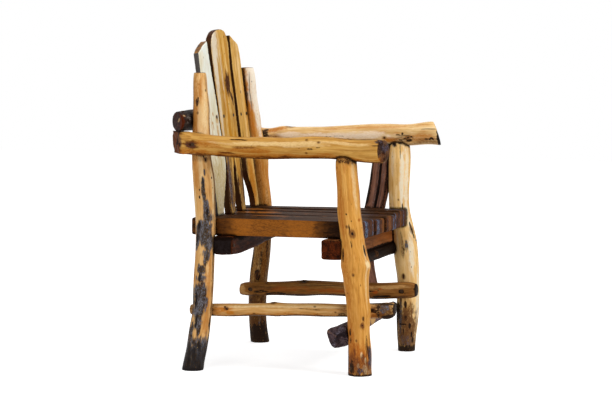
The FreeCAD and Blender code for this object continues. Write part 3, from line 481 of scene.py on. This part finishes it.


# REAR LEGS
# Two taller peeled saplings that lean back past the arms, which are nailed to them, as the
# rail is. The near one lay wet before it was used, so blue stain runs down it in a wavering
# band. The far one goes from pale at the top, partly bleached and partly a painted highlight,
# through orange, to brown under the seat.

# Varnish over sapwood with blue stain: honey wood broken up by soft, smoky islands.
stained = varnished_wood("varnish_on_blue_stained_log", "#efc98e", "#dba765", "#ad763c", "#70482a",
                         black="#161110", grey="#686c78", warm="#bd7a34", mottled=0.8)
# The pale rows on the side that faces the front softbox are painted highlights, and the brown and black
# rows along both edges are painted shade.
add_log("rear_leg_right", "near_rear_leg", "streaked_log", 2, stained, seed=31,
        knots=((746, 9, 4.5, 0.7), (585, -42, 5, 0.6), (243, -6, 5, 0.4), (640, 130, 6, 0.8),
               (300, 160, 6, 0.8)),
        cracks=((520, -92, 75, 1.3, 1.5), (700, 150, 80, 1.2, 1.4)),
        black=((753, 3, 6, 2, 1), (740, 12, 6, 3, 1), (748, 17, 5, 2, 1), (585, -42, 7, 4, 0.9),
               (597, -30, 8, 2, 0.9), (524, -16, 14, 2, 0.8), (441, -32, 12, 3, 0.8), (402, 16, 9, 4, 0.9),
               (368, 33, 10, 4, 0.9), (257, 8, 12, 4, 0.8), (196, 24, 22, 5, 0.8), (140, 6, 22, 4, 0.9),
               (502, 6, 4, 2, 0.9), (482, 8, 4, 2, 0.9), (535, -67, 3, 2, 0.9), (507, -70, 3, 2, 0.9),
               (150, 58, 130, 6, 0.8), (18, 0, 66, 400, 0.5), (50, -90, 90, 6, 0.9), (0, 0, 9, 400, 1)),
        grey=((549, -28, 12, 3, 0.8), (524, -16, 16, 5, 0.9), (502, -14, 15, 5, 0.9),
              (483, -20, 15, 4, 0.9), (460, -24, 17, 8, 0.9), (441, -34, 15, 10, 0.9),
              (424, -36, 17, 14, 0.9), (402, 10, 16, 9, 0.9), (402, -30, 20, 14, 0.9),
              (370, 30, 26, 10, 1), (386, 0, 30, 20, 0.9), (360, -44, 24, 13, 0.8),
              (374, -28, 24, 13, 0.85), (348, 42, 14, 7, 1), (349, -34, 20, 9, 0.85),
              (321, -30, 18, 9, 0.8), (302, -25, 12, 6, 0.7), (280, -4, 15, 12, 0.8),
              (257, 0, 13, 12, 0.9), (222, 0, 26, 21, 0.9), (196, 4, 26, 22, 0.95), (170, 6, 26, 20, 0.9),
              (140, 0, 26, 12, 0.9), (118, -14, 24, 6, 0.9), (113, 30, 22, 7, 0.9), (30, 0, 62, 400, 0.95),
              (400, 160, 120, 14, 0.9), (200, 150, 90, 16, 0.8)),
        pale=((500, -74, 60, 5, 0.9), (650, -40, 70, 10, 0.5), (243, -6, 7, 6, 0.7),
              (400, -14, 40, 3, 0.5), (156, -8, 16, 4, 0.6), (700, -50, 90, 7, 0.6),
              (680, -10, 50, 8, 0.4), (540, -10, 60, 8, 0.4)),
        warm=((720, 34, 90, 12, 0.8), (780, -20, 34, 9, 0.6), (640, 20, 60, 9, 0.6),
              (560, 26, 70, 10, 0.6), (278, 55, 55, 10, 0.6), (240, -50, 70, 12, 0.6),
              (126, -54, 40, 10, 0.6), (90, 44, 16, 3, 0.9), (15, 16, 12, 9, 0.5)),
        brown=((590, 0, 10, 300, 0.4), (690, 66, 130, 7, 0.7), (430, 80, 180, 9, 0.6),
               (600, -96, 200, 7, 0.6), (30, 0, 56, 300, 0.5), (250, -84, 150, 6, 0.7)))

# Thicker varnish that went orange-brown, over wood that is pale high up: partly bleached, partly a painted
# highlight on the side that faces the front softbox.
orange = varnished_wood("orange_brown_varnish_on_peeled_log", "#edc182", "#d89e50", "#a06829", "#b79a78",
                        pale="#fbf0dc", brown="#4c290e", warm="#cc7e2a")
# The brown and black rows along the side away from the front softbox are painted shade.
add_log("rear_leg_left", "far_rear_leg", "brown_log", 2, orange, seed=37,
        knots=((208, -6, 6, 0.8), (600, 120, 6, 0.8), (130, 30, 5, 0.6)),
        cracks=((760, -20, 60, 1.1, 1.2), (400, 150, 90, 1.2, 1.4)),
        black=((800, 36, 60, 5, 0.8), (216, -1, 9, 6, 1), (201, -11, 9, 8, 1), (250, 50, 80, 6, 0.7),
               (0, 0, 60, 400, 0.8), (250, -20, 40, 4, 0.5), (330, 14, 40, 4, 0.6),
               (290, -52, 30, 3, 0.6)),
        grey=((62, -30, 20, 6, 0.4),),
        pale=((815, -48, 46, 24, 1), (755, -56, 50, 20, 0.95), (695, -62, 56, 12, 0.8),
              (640, -62, 50, 8, 0.5)),
        warm=((745, -12, 90, 6, 0.9), (677, -10, 60, 12, 0.7), (480, -30, 80, 300, 0.6),
              (260, -46, 90, 9, 0.8), (320, -14, 50, 8, 0.7)),
        brown=((780, 20, 70, 7, 0.8), (500, 40, 110, 14, 0.6), (480, -8, 70, 9, 0.35),
               (410, 0, 30, 300, 0.3), (190, 0, 215, 300, 0.6), (80, 0, 90, 300, 0.9)))


# STRETCHERS
# Thinner sticks that tie the legs: one along each side, hollowed to fit the legs and nailed
# inside them, a dark round one behind the front legs, and a low stick that still has its
# bark and was cut short with a hatchet.

def move(piece, points):
    """Puts the points of a piece where they are worked to."""
    piece.data.vertices.foreach_set("co", points.ravel())
    piece.data.update()


def hew(piece, laid, sound, square, sharp, tilt=0):
    """Squares a log's section towards an end, as a few strokes of an axe do. The log is sound
    at one place and square at another, mm from the low end, and its middle line runs on from
    two sound rings. sharp is 2 for round and more for squarer, and tilt turns it, in degrees."""
    apart, half_ring = 24, 6
    points, _ = read(piece.data)
    across = [i for i in range(3) if not laid.run[i]]
    run = laid.grain[:, 2] / mm
    back = math.copysign(apart, square - sound)
    rings = [points[np.abs(run - spot) < half_ring][:, across] for spot in (sound, sound - back)]
    here, before = ((ring.min(axis=0) + ring.max(axis=0)) / 2 for ring in rings)
    gap = points[:, across] - here - (here - before) * ((run - sound) / back)[:, None]
    turn = np.arctan2(gap[:, 1], -gap[:, 0]) - math.radians(tilt)
    spread = (np.abs(np.cos(turn)) ** sharp + np.abs(np.sin(turn)) ** sharp) ** (-1 / sharp) - 1
    share = np.clip(2 * (run - sound) / (square - sound) - 1, 0, 1)
    points[:, across] += gap * (spread * share)[:, None]
    move(piece, points)


# A thin coat on a peeled stick: tan wood with little gloss. The dark underside is painted shade, and the
# pale strips along its upper side are painted highlights.
tan = varnished_wood("thin_varnish_on_peeled_stick", "#e6bd80", "#d09c5a", "#a27034", "#6b472a",
                     brown="#4e2f16", warm="#bd721f")
add_log("side_stretcher_right", "near_stretcher", "tan_stick", 1, tan, seed=83, lumps=0.8,
        swellings=((20, -78, 20, 20, 6.5), (26, 60, 12, 20, 1.5), (343, 72, 14, 12, 1.5),
                   (180, -90, 60, 20, 1.2)),
        knots=((343, 72, 6, 1.2), (476, 20, 4, 0.4), (200, 150, 5, 0.8), (59, 8, 5, 0.6),
               (110, -100, 6, 0.8)),
        black=((52, 0, 10, 7, 0.8), (18, -56, 20, 9, 0.8), (480, 35, 3, 3, 0.9), (472, 12, 4, 3, 0.8),
               (522, 17, 7, 400, 0.6), (300, -92, 280, 7, 0.9), (59, 8, 6, 5, 0.9), (44, 20, 5, 50, 0.6),
               (10, -70, 18, 7, 0.9), (78, 0, 8, 300, 0.8), (148, -60, 16, 12, 0.7),
               (255, 15, 22, 1.5, 0.5), (225, 8, 20, 1.5, 0.5), (0, 0, 5, 300, 0.8), (30, 74, 40, 8, 0.7)),
        grey=((25, 38, 12, 9, 0.5), (32, 8, 9, 10, 0.5)),
        pale=((264, 32, 130, 4, 0.5), (430, 35, 60, 4, 0.6)),
        warm=((34, -20, 9, 10, 1), (476, 20, 18, 10, 0.9), (466, -20, 12, 7, 0.8), (500, 0, 12, 12, 0.6),
              (52, -20, 10, 14, 0.8), (300, -50, 260, 8, 0.6)),
        brown=((300, -74, 280, 9, 0.95), (24, -30, 34, 40, 0.75), (560, 0, 40, 300, 0.6),
               (130, 0, 30, 300, 0.5)))

# Umber-tinted varnish: deep brown with amber where hands and feet rub it.
umber = varnished_wood("umber_varnish_on_peeled_stick", "#ad763a", "#8a5926", "#573616", "#3a2415",
                       black="#120905", grey="#6f6860", pale="#c9975c", warm="#a04c14", brown="#2e1a0d",
                       shine=0.04, coat=0.02)
# The black and brown rows along its underside are painted shade.
add_log("side_stretcher_left", "far_stretcher", "brown_stick", 1, umber, seed=85, lumps=0.9,
        knots=((350, 62, 8, 2.0), (200, 40, 5, 0.8), (440, 130, 6, 0.8)),
        cracks=((280, 30, 90, 1.1, 1.0),),
        black=((520, 1, 6, 6, 1), (42, -6, 8, 7, 1), (112, -40, 34, 5, 0.9), (260, -88, 270, 9, 0.8),
               (0, 0, 5, 300, 0.7), (484, -20, 26, 5, 0.7), (440, -40, 40, 5, 0.6), (140, 4, 16, 2, 0.7)),
        pale=((549, 5, 12, 12, 0.7), (300, 30, 110, 4, 0.4), (540, -40, 16, 5, 0.6), (80, 34, 60, 6, 0.8)),
        warm=((122, -5, 9, 5, 0.9), (108, 20, 8, 4, 0.8), (250, -10, 80, 6, 0.6), (400, 0, 60, 8, 0.5)),
        brown=((260, -64, 280, 10, 0.85), (480, 10, 40, 12, 0.4)))

# Old bark under varnish: almost black, so only its ridges catch a dull light.
round_log = varnished_wood("dark_varnish_on_barked_log", "#20150f", "#180f0b", "#0d0806", "#2b1a10",
                           pale="#5d4a3e", warm="#5a2e14", gloss=0.5, shine=0.01, coat=0.0)
add_log("front_cross_log", "front_round", "dark_stick", 0, round_log, seed=81, bark=0.5,
        knots=((250, 20, 7, 1.5),),
        cracks=((300, 40, 90, 1.3, 1.4),))

# Raw dry bark: purplish grey and matt.
bark = varnished_wood("raw_bark_on_low_stick", "#786469", "#5a4a4d", "#382b2e", "#5f4d50", black="#1a1112",
                      grey="#857c8a", pale="#c29a62", warm="#8f6236", brown="#2a1f1f", gloss=0.55,
                      shine=0.03, coat=0.0)
stick = even_copy("low_stretcher", "low_stick")
hew(stick, log_grain(stick, 0), sound=70, square=14, sharp=5, tilt=19)
weather(stick, "low_stretcher", log_grain(stick, 0), seed=87, bark=0.9, chop=1.8, lumps=1.2,
        knots=((120, 40, 8, 1.8), (330, 100, 8, 1.8)),
        black=((4, 20, 14, 9, 0.6), (6, -93, 12, 9, 0.5)),
        grey=((6, 60, 14, 12, 0.5), (60, 30, 50, 8, 0.5), (12, -123, 12, 6, 0.5), (200, 120, 90, 10, 0.6)),
        warm=((6, 152, 8, 2, 0.6), (255, 12, 26, 16, 1)),
        pale=((260, 6, 24, 12, 1),))
dress(stick, "low_stretcher", bark)


# SEAT
# Five rough planks lie front to back over two squared timbers, each nailed at both ends. They
# carry the darkest stain and the thickest varnish, rubbed smooth by sitting. The near plank's
# side stayed orange-brown.

def board_grain(piece, along, front):
    """How a board lies: across it, in front of its middle, and along it from its low end.
    along and front are its directions."""
    points, _ = read(piece.data)
    along = np.array(along) / np.linalg.norm(along)
    front = np.array(front) / np.linalg.norm(front)
    across = np.cross(along, front)
    gap = points - (points.min(axis=0) + points.max(axis=0)) / 2
    run = gap @ along
    grain = np.stack([gap @ across, gap @ front, run - run.min()], axis=1)
    return SimpleNamespace(grain=grain, way=grain[:, 0] / mm, period=1e6, scale=1,
                           across=np.array([[1, 0]]), run=along, side=across, length=np.ptp(run) / mm)


# Dark stain polished by sitting: nearly black wood with a faint red glow. The orange patches
# near the back of the middle planks are a painted reflection, and the blue-grey streaks on the
# front ends and tops are painted glints. Its sawn ends show the year rings round a heart below
# and beside each plank.
planks = (dict(warm=((290, -61, 190, 9, 0.6), (180, -61, 50, 9, 0.75), (350, -61, 34, 9, 0.75)),
               knots=((330, 20, 9, 0.5),),
               black=((456, -61, 30, 20, 0.6), (80, -61, 60, 12, 0.4)),
               grey=((0, -22, 9, 12, 0.75), (0, 40, 9, 4, 0.7)),
               brown=((40, -61, 60, 12, 0.9), (430, -61, 50, 20, 0.6), (250, -50, 200, 5, 0.6))),
          dict(knots=((180, 10, 8, 0.5),), warm=((330, 0, 60, 22, 0.6), (0, 30, 9, 14, 0.35)),
               grey=((0, -20, 9, 14, 0.5),)),
          dict(warm=((400, 0, 60, 26, 0.7), (0, -10, 9, 16, 0.35)),
               grey=((60, 10, 40, 6, 0.5), (0, 30, 9, 6, 0.6))),
          dict(warm=((430, 0, 40, 20, 0.6),), grey=((0, -20, 9, 4, 0.7), (0, 26, 9, 4, 0.6))),
          dict(knots=((240, -5, 8, 0.5),), grey=((30, 5, 40, 6, 0.5),), warm=((0, -26, 9, 8, 0.35),)))
for number, marks in enumerate(planks, 1):
    node = "seat_plank_%d" % number
    plank = even_copy(node, "seat_board_%d" % number, 2.4)
    weather(plank, node, board_grain(plank, (0, 1, 0), (0, 0, 1)), 60 + number, lumps=0.5, pins=4, **marks)
    dress(plank, node, varnished_wood(
        "dark_polished_plank_%d" % number, "#4f3220", "#3a2415", "#20130b", "#5a2f14", black="#0f0805",
        grey="#8090b0", pale="#6f4c34", warm="#a86422", brown="#2e1a0e", rings=(9 * number - 24, -45, 9),
        flecked=0.6, gloss=0.45, shine=0.01, coat=0.01))

# Red-brown stain without varnish on adzed timber: matt, with dark smears.
squared = dict(pale="#8a5a33", warm="#84471a", brown="#2c190e", black="#100704", gloss=0.5, shine=0.02,
               coat=0.0)
for node, name, seed, tones, marks in (
        ("front_seat_bearer", "front_bearer", 71, ("#b26e3c", "#8c552d", "#53301a", "#6c2e10"),
         dict(black=((4, 0, 10, 80, 0.4), (380, 24, 160, 8, 0.8)), brown=((60, 0, 40, 80, 0.6),),
              warm=((400, -5, 90, 14, 0.6),), knots=((210, 5, 8, 0.6),))),
        ("rear_seat_bearer", "rear_bearer", 73, ("#6a3618", "#4c240e", "#291108", "#241c1c"),
         dict(black=((250, -20, 260, 10, 0.8), (3, -24, 12, 10, 0.7)),
              knots=((330, 0, 8, 0.6),)))):
    bearer = even_copy(node, name, 2.4)
    weather(bearer, node, board_grain(bearer, (1, 0, 0), (0, -1, 0)), seed, pins=5, **marks)
    dress(bearer, node,
          varnished_wood("stained_squared_timber_" + name, *tones, rings=(0, 50, 9), **squared))


# ARMS
# Two thick logs, each laid in the hollow of a front leg and nailed to the rear leg's outer
# side. The near one ends square at the back, where an axe took its round off, and its front
# end has greyed. The far one is bleached and bumpy.

# Honey varnish worn by forearms: even gold, with a painted highlight along its upper side and painted
# shade, brown and black, along its underside; black in the axe cuts.
arm_near = varnished_wood("honey_varnish_on_peeled_log", "#dcae60", "#c69246", "#97662c", "#6c4a30",
                          black="#1f0c03", grey="#5c5563", pale="#e8c488", warm="#a85f14", brown="#582806",
                          shine=0.03, coat=0.01)
arm = even_copy("arm_right", "near_arm")
laid = log_grain(arm, 1)
hew(arm, laid, sound=laid.length - 100, square=laid.length - 48, sharp=14)
# The last strokes leave the end dished, with lips that stand out above and more so below.
flare_from, flare_run, dish, half_height = 44, 34, 9, 30
lip_above_share, lip_below_share = 0.06, 0.2
points, _ = read(arm.data)
rise = laid.grain[:, 1]
flare = np.clip((laid.grain[:, 2] / mm - laid.length + flare_from) / flare_run, 0, 1)
points[:, 1] += flare * dish * mm * (rise / (half_height * mm)) ** 2
points[:, 2] += flare * rise * np.where(rise < 0, lip_below_share, lip_above_share)
move(arm, points)
weather(arm, "arm_right", log_grain(arm, 1), seed=41,
        knots=((546, -2, 7, 0.8), (300, 130, 7, 1.0), (120, -140, 6, 0.8)),
        cracks=((411, 50, 26, 1.2, 1.0), (100, 74, 75, 1.3, 1.3), (350, 120, 110, 1.3, 1.5),
                (24, 30, 10, 1.5, 1.5)),
        black=((594, 24, 5, 14, 0.8), (613, 14, 4, 14, 0.8), (583, 52, 5, 9, 0.9), (601, -60, 5, 9, 0.6),
               (583, -12, 5, 6, 0.8), (614, -40, 4, 8, 0.7), (604, -20, 8, 8, 0.6), (546, -2, 6, 4, 0.5),
               (411, 50, 13, 2, 0.9), (395, 45, 10, 1.5, 0.8), (430, 48, 9, 2, 0.7),
               (85, 80, 80, 1.6, 0.9), (207, -5, 8, 2.5, 0.8), (184, 3, 7, 2, 0.6),
               (300, -94, 320, 8, 0.7), (14, 34, 5, 14, 0.5), (6, -40, 6, 14, 0.5)),
        grey=((546, -2, 13, 9, 0.55), (14, 60, 12, 12, 0.7), (6, 150, 9, 9, 0.6)),
        pale=((300, 26, 130, 6, 0.8), (230, 14, 60, 5, 0.6), (120, 34, 70, 6, 0.6), (450, 20, 60, 4, 0.5)),
        warm=((500, 10, 60, 9, 0.6), (380, -12, 70, 8, 0.6), (540, -40, 60, 8, 0.7),
              (300, -48, 320, 9, 0.7), (605, 24, 5, 20, 0.9), (600, -56, 26, 14, 0.9)),
        brown=((437, -33, 24, 3, 0.8), (300, -74, 320, 13, 0.85), (398, 3, 32, 3, 0.6),
               (604, 0, 26, 300, 0.95), (546, -2, 20, 14, 0.8), (330, 84, 260, 6, 0.4)))
dress(arm, "arm_right", arm_near)

# Varnish bleached by the sun: cream and apricot, with dirt in its knots and a black rim.
arm_far = varnished_wood("bleached_varnish_on_peeled_log", "#f9deae", "#e9c385", "#bd8a48", "#8a5a30",
                         black="#1b100a", pale="#f6dfc4", warm="#c27628", brown="#82552a")
# The pale band along its near side is a painted highlight, and the brown along its underside is painted
# shade.
add_log("arm_left", "far_arm", "pale_arm", 1, arm_far, seed=43, lumps=0.9,
        knots=((167, -12, 4, 0.6), (470, 85, 9, 0.8), (95, -14, 5, 0.6), (300, 140, 6, 0.8)),
        cracks=((33, 26, 24, 1.2, 1.5), (105, 0, 18, 1.3, 1.2), (250, 120, 110, 1.3, 1.5)),
        black=((167, -12, 4, 3, 1), (116, -26, 11, 3, 0.9), (102, -20, 7, 3, 0.9), (126, 2, 7, 2, 0.9),
               (112, 8, 4, 4, 0.8), (92, -30, 10, 5, 0.9), (86, -12, 4, 3, 0.7), (40, -28, 6, 3, 0.8),
               (30, -30, 4, 3, 0.8), (24, -22, 5, 3, 0.8), (20, -32, 3, 2, 0.8), (3, 0, 6, 400, 1),
               (545, 20, 12, 24, 0.8), (330, 2, 70, 1.3, 0.5)),
        grey=((1, 0, 7, 300, 0.7),),
        pale=((330, 0, 170, 12, 0.8), (465, 12, 40, 10, 0.8), (220, 4, 60, 10, 0.7)),
        warm=((353, -20, 60, 4, 0.9), (150, -24, 30, 8, 0.9), (60, -20, 50, 12, 0.6),
              (520, 50, 45, 12, 0.8), (200, 50, 160, 7, 0.5)),
        brown=((300, -60, 300, 12, 0.6), (110, -22, 34, 10, 0.6), (30, -50, 60, 14, 0.6),
               (520, -10, 40, 14, 0.6)))


# BACK RAIL
# A log with its bark on, across the backs of the rear legs and let down into the arm ends.
# It is nailed to both, and the back boards are nailed to it. It has one tan scar.

# Bark blackened by varnish: ridged and dark, with grey patches that are painted highlights, and a
# red-brown sawn end.
rail_bark = varnished_wood("blackened_bark_on_rail", "#453d38", "#2a2220", "#15100f", "#6b2c0c",
                           black="#1a0803", grey="#807972", pale="#b8946a", warm="#65280a",
                           brown="#4a1c08", gloss=0.45, shine=0.015, coat=0.0)
add_log("back_rail", "rail", "bark_rail", 0, rail_bark, seed=47, bark=0.7,
        knots=((240, 20, 8, 1.6), (480, 140, 8, 1.6)),
        cracks=((300, -150, 100, 1.3, 1.4),),
        grey=((60, 20, 34, 9, 0.8), (36, 2, 12, 7, 0.7), (300, 60, 160, 8, 0.6)),
        warm=((2, -20, 9, 12, 0.8), (2, 60, 6, 8, 0.7)), pale=((22, 42, 9, 4, 1),),
        brown=((0, 0, 13, 300, 1),))


# BACK BOARDS
# Three slabs sawn through and through, with bark left dark on their edges, that lean on the
# rail. The near one is bleached, the middle one has a black knot and splits in two below the
# arms, and the far one is golden.

lean = 6.85
slope = math.tan(math.radians(lean))
# Thin varnish on sawn faces: cream, tan and gold with straight grain, and dark bark edges.
boards = (
    ("back_slat_right", "near_board", "cream_board", 51, 1.4, (-10, 60, 20),
     ("#f5f2e4", "#ece7d2", "#d3caa6", "#a8712f"),
     dict(black="#3d383b", pale="#eaf0ea", warm="#c08d48", brown="#bda15e", mottled=0.35),
     dict(knots=((272, 30, 4, 0.3),), black=((500, 60, 60, 4, 0.5),),
          pale=((490, -10, 30, 40, 0.8), (420, 0, 90, 40, 0.5)),
          warm=((272, 28, 16, 10, 0.7), (240, 26, 20, 8, 0.7), (250, -6, 9, 5, 0.6), (385, 52, 44, 9, 0.8),
                (500, -52, 24, 6, 0.8), (230, -20, 60, 6, 0.4), (288, 2, 7, 6, 0.8), (262, -10, 5, 6, 0.8),
                (205, 0, 8, 6, 0.7), (168, 6, 6, 6, 0.7)),
          brown=((60, 0, 120, 90, 0.6), (30, -30, 60, 20, 0.5), (110, 40, 60, 12, 0.4),
                 (505, -40, 9, 24, 0.6)))),
    ("back_slat_centre", "middle_board", "tan_board", 53, 1.5, (12, 75, 24),
     ("#e9c985", "#d6a650", "#a06e24", "#4b2d18"),
     dict(black="#30130a", pale="#e2d5bd", warm="#ba7c16", brown="#5a330a", grey="#7d7274"),
     dict(knots=((376, 29, 10, 0.5), (200, -45, 5, 0.4)), cracks=((150, 14, 40, 1.6, 1.4),),
          black=((376, 29, 25, 18, 1), (358, 36, 12, 9, 1), (342, 46, 12, 6, 0.9), (326, 56, 14, 5, 0.8),
                 (110, 10, 50, 9, 0.7), (60, 24, 60, 8, 0.7), (90, -64, 100, 8, 0.8),
                 (90, 62, 90, 6, 0.8)),
          grey=((95, -44, 90, 12, 0.8), (338, 52, 12, 5, 0.6)),
          pale=((500, -44, 60, 24, 0.8), (440, -52, 90, 18, 0.85), (350, -54, 110, 12, 0.7),
                (260, -54, 60, 8, 0.6), (420, -8, 100, 5, 0.5)),
          warm=((374, 29, 44, 32, 0.9), (430, 12, 110, 6, 0.9), (250, 6, 130, 12, 1),
                (330, -14, 90, 5, 0.7), (200, 44, 60, 10, 0.8), (110, 38, 70, 16, 0.7),
                (470, 48, 60, 10, 0.7), (200, -30, 90, 6, 0.6)),
          brown=((95, -40, 100, 26, 0.75), (60, 48, 60, 20, 0.6), (160, -60, 70, 14, 0.5),
                 (374, 29, 36, 26, 0.8)))),
    ("back_slat_left", "far_board", "golden_board", 57, 1.5, (-20, 80, 22),
     ("#f0cc88", "#e0b05c", "#b07c30", "#4b2d18"),
     dict(black="#30130a", pale="#f0d09a", warm="#b8700f", brown="#54300f"),
     dict(knots=((180, 20, 5, 0.4),), black=((110, -34, 80, 9, 0.95), (250, 46, 60, 4, 0.6)),
          pale=((400, 4, 90, 9, 0.6), (200, 10, 60, 8, 0.4)),
          warm=((70, 10, 90, 24, 0.8), (330, 30, 90, 7, 0.6)),
          brown=((30, -10, 50, 14, 0.6), (120, -24, 90, 8, 0.7)))))
for node, name, slot, seed, edge, heart, tones, accents, marks in boards:
    board = even_copy(node, name)
    laid = board_grain(board, (0, slope, 1), (0, -1, slope))
    if name == "near_board":
        # Its outer edge is thinner towards the top, where the back was hewn away.
        wane, wane_width, wane_start, half_width, half_thickness = 4, 30, 380, 60, 9.6
        points, _ = read(board.data)
        thin = np.clip((-laid.way - half_width + wane_width) / wane_width, 0, 1)
        thin *= np.clip((laid.grain[:, 2] / mm - wane_start) / wane_width, 0, 1)
        forward = np.clip(-laid.grain[:, 1], 0, None) * thin * wane / half_thickness
        points += np.array([0, -1, slope]) * forward[:, None]
        move(board, points)
    weather(board, node, laid, seed, lumps=0.4, ripple=0.25, edge=edge, pins=5, **marks)
    dress(board, node, varnished_wood("waney_board_" + slot, *tones, rings=heart, shine=0.03,
                                            coat=0.01, **accents))


# BRACE
# A dark branch of two stems grown together, with a furrow between them. It stands outside the
# seat, nailed to the far stretcher and to the edge of the last plank, and reaches the far arm.

# Dark varnish on thin bark: brown with a purple cast, black along the furrow, nearly matt.
branch = varnished_wood("dark_varnish_on_twin_branch", "#a8765f", "#7a5343", "#462d23", "#33211a",
                        black="#140b08", grey="#8f7a76", pale="#8a7068", warm="#7a452a", shine=0.04,
                        coat=0.02)
# The thin grey strips beside the furrow are painted highlights, and the black along its back edge is
# painted shade.
add_log("left_brace", "brace_branch", "dark_branch", 2, branch, seed=89, bark=0.25,
        cracks=((300, -14, 260, 2.2, 1.8),),
        black=((300, -14, 260, 4, 0.9), (300, 66, 260, 8, 0.8), (280, -60, 200, 6, 0.5)),
        grey=((320, 8, 200, 4, 0.35), (300, -36, 200, 3, 0.3)))


# NAILS
# Common wire nails, driven flush and long since browned, so that only small dark heads show.
# They keep their CAD shapes and share one steel.

# Steel under brown rust and varnish: dull and pitted, hardly metallic any more.
steel = bpy.data.materials.new("browned_wire_nail_steel")
new = emptied(steel)
pitting = 1.2
worn = new("TexNoise", {"Scale": 1 / (pitting * mm), "Detail": 4.0}, "Fac")
tone = new("ValToRGB", {"Fac": worn}, stops=((0.35, colour("#24170e")), (0.7, colour("#4e3520"))))
uneven = new("Bump", {"Height": worn, "Strength": 0.4, "Distance": 0.2 * mm})
surface = new("BsdfPrincipled", {"Base Color": tone, "Metallic": 0.2, "Roughness": worn,
                                 "Normal": uneven, "Specular IOR Level": 0.1})
new("OutputMaterial", {"Surface": surface})
for name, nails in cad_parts.items():
    if name.endswith("nails"):
        nails.data.materials.clear()
        nails.data.materials.append(steel)


# ROOM
# A plain white floor under a white sky. The softbox in front of the chair gives the logs their
# long highlights, and one at the side and one overhead fill the shade.

def background_rays(new):
    """1 for the rays that see the background itself: straight, mirrored or through glass."""
    straight, mirrored, through = (new("LightPath", {}, "Is %s Ray" % kind)
                                   for kind in ("Camera", "Glossy", "Transmission"))
    seen = new("Math", {0: straight, 1: mirrored}, operation="ADD")
    return new("Math", {0: seen, 1: through}, operation="ADD", use_clamp=True)


floor_mesh = bpy.data.meshes.new("floor")
half_width = 9
corners = [(x * half_width, y * half_width, 0) for x, y in ((-1, -1), (1, -1), (1, 1), (-1, 1))]
floor_mesh.from_pydata(corners, [], [(0, 1, 2, 3)])
floor = in_scene("floor", floor_mesh)
# Matt white paper. It is white by itself further out, and near the feet leaves more to the
# lamps, so that the chair keeps its shadow.
white = bpy.data.materials.new("white_studio_floor")
new = emptied(white)
shade_edge, white_from = 0.6, 3.0
spot = new("NewGeometry", {}, "Position")
spot = new("VectorMath", {0: spot}, "Value", operation="LENGTH")
glow = new("MapRange", {"Value": spot, "From Min": shade_edge, "From Max": white_from,
                        "To Min": 0.7, "To Max": 0.95})
glow = new("Math", {0: glow, 1: background_rays(new)}, operation="MULTIPLY")
glow = new("Emission", {"Color": (1, 1, 1, 1), "Strength": glow})
matt = new("BsdfPrincipled", {"Base Color": (0.8, 0.8, 0.8, 1), "Roughness": 0.9,
                              "Specular IOR Level": 0.0})
both = new("AddShader", {0: matt, 1: glow})
new("OutputMaterial", {"Surface": both})
floor.data.materials.append(white)

world = bpy.data.worlds.new("studio")
bpy.context.scene.world = world
new = emptied(world)
strength = new("MapRange", {"Value": background_rays(new), "To Min": 0.30, "To Max": 1.0})
sky = new("Background", {"Color": (1, 1, 1, 1), "Strength": strength})
new("OutputWorld", {"Surface": sky})

aimed_at = Vector((0, 0, 0.45))
for name, spot, size, power in (("front_softbox", (-1.0, -3.5, 2.2), 1.6, 74),
                                ("side_softbox", (-4.0, 0.9, 1.25), 2.0, 56),
                                ("top_softbox", (0.2, -0.4, 3.2), 2.2, 42)):
    lamp = bpy.data.lights.new(name, "AREA")
    lamp.size = size
    lamp.energy = power
    softbox = in_scene(name, lamp)
    softbox.location = spot
    softbox.rotation_euler = (aimed_at - Vector(spot)).to_track_quat("-Z", "Y").to_euler()

camera = bpy.data.cameras.new("camera")
camera.sensor_fit = "HORIZONTAL"
camera.sensor_width = 36
camera.lens = 136.0
viewer = in_scene("camera", camera)
viewer.location = (-6.289, -1.991, 0.991)
yaw, pitch = math.radians(17.654), math.radians(4.712)
ahead = Vector((math.cos(yaw) * math.cos(pitch), math.sin(yaw) * math.cos(pitch), -math.sin(pitch)))
viewer.rotation_euler = ahead.to_track_quat("-Z", "Y").to_euler()
bpy.context.scene.camera = viewer
bpy.context.scene.view_settings.view_transform = "Standard"
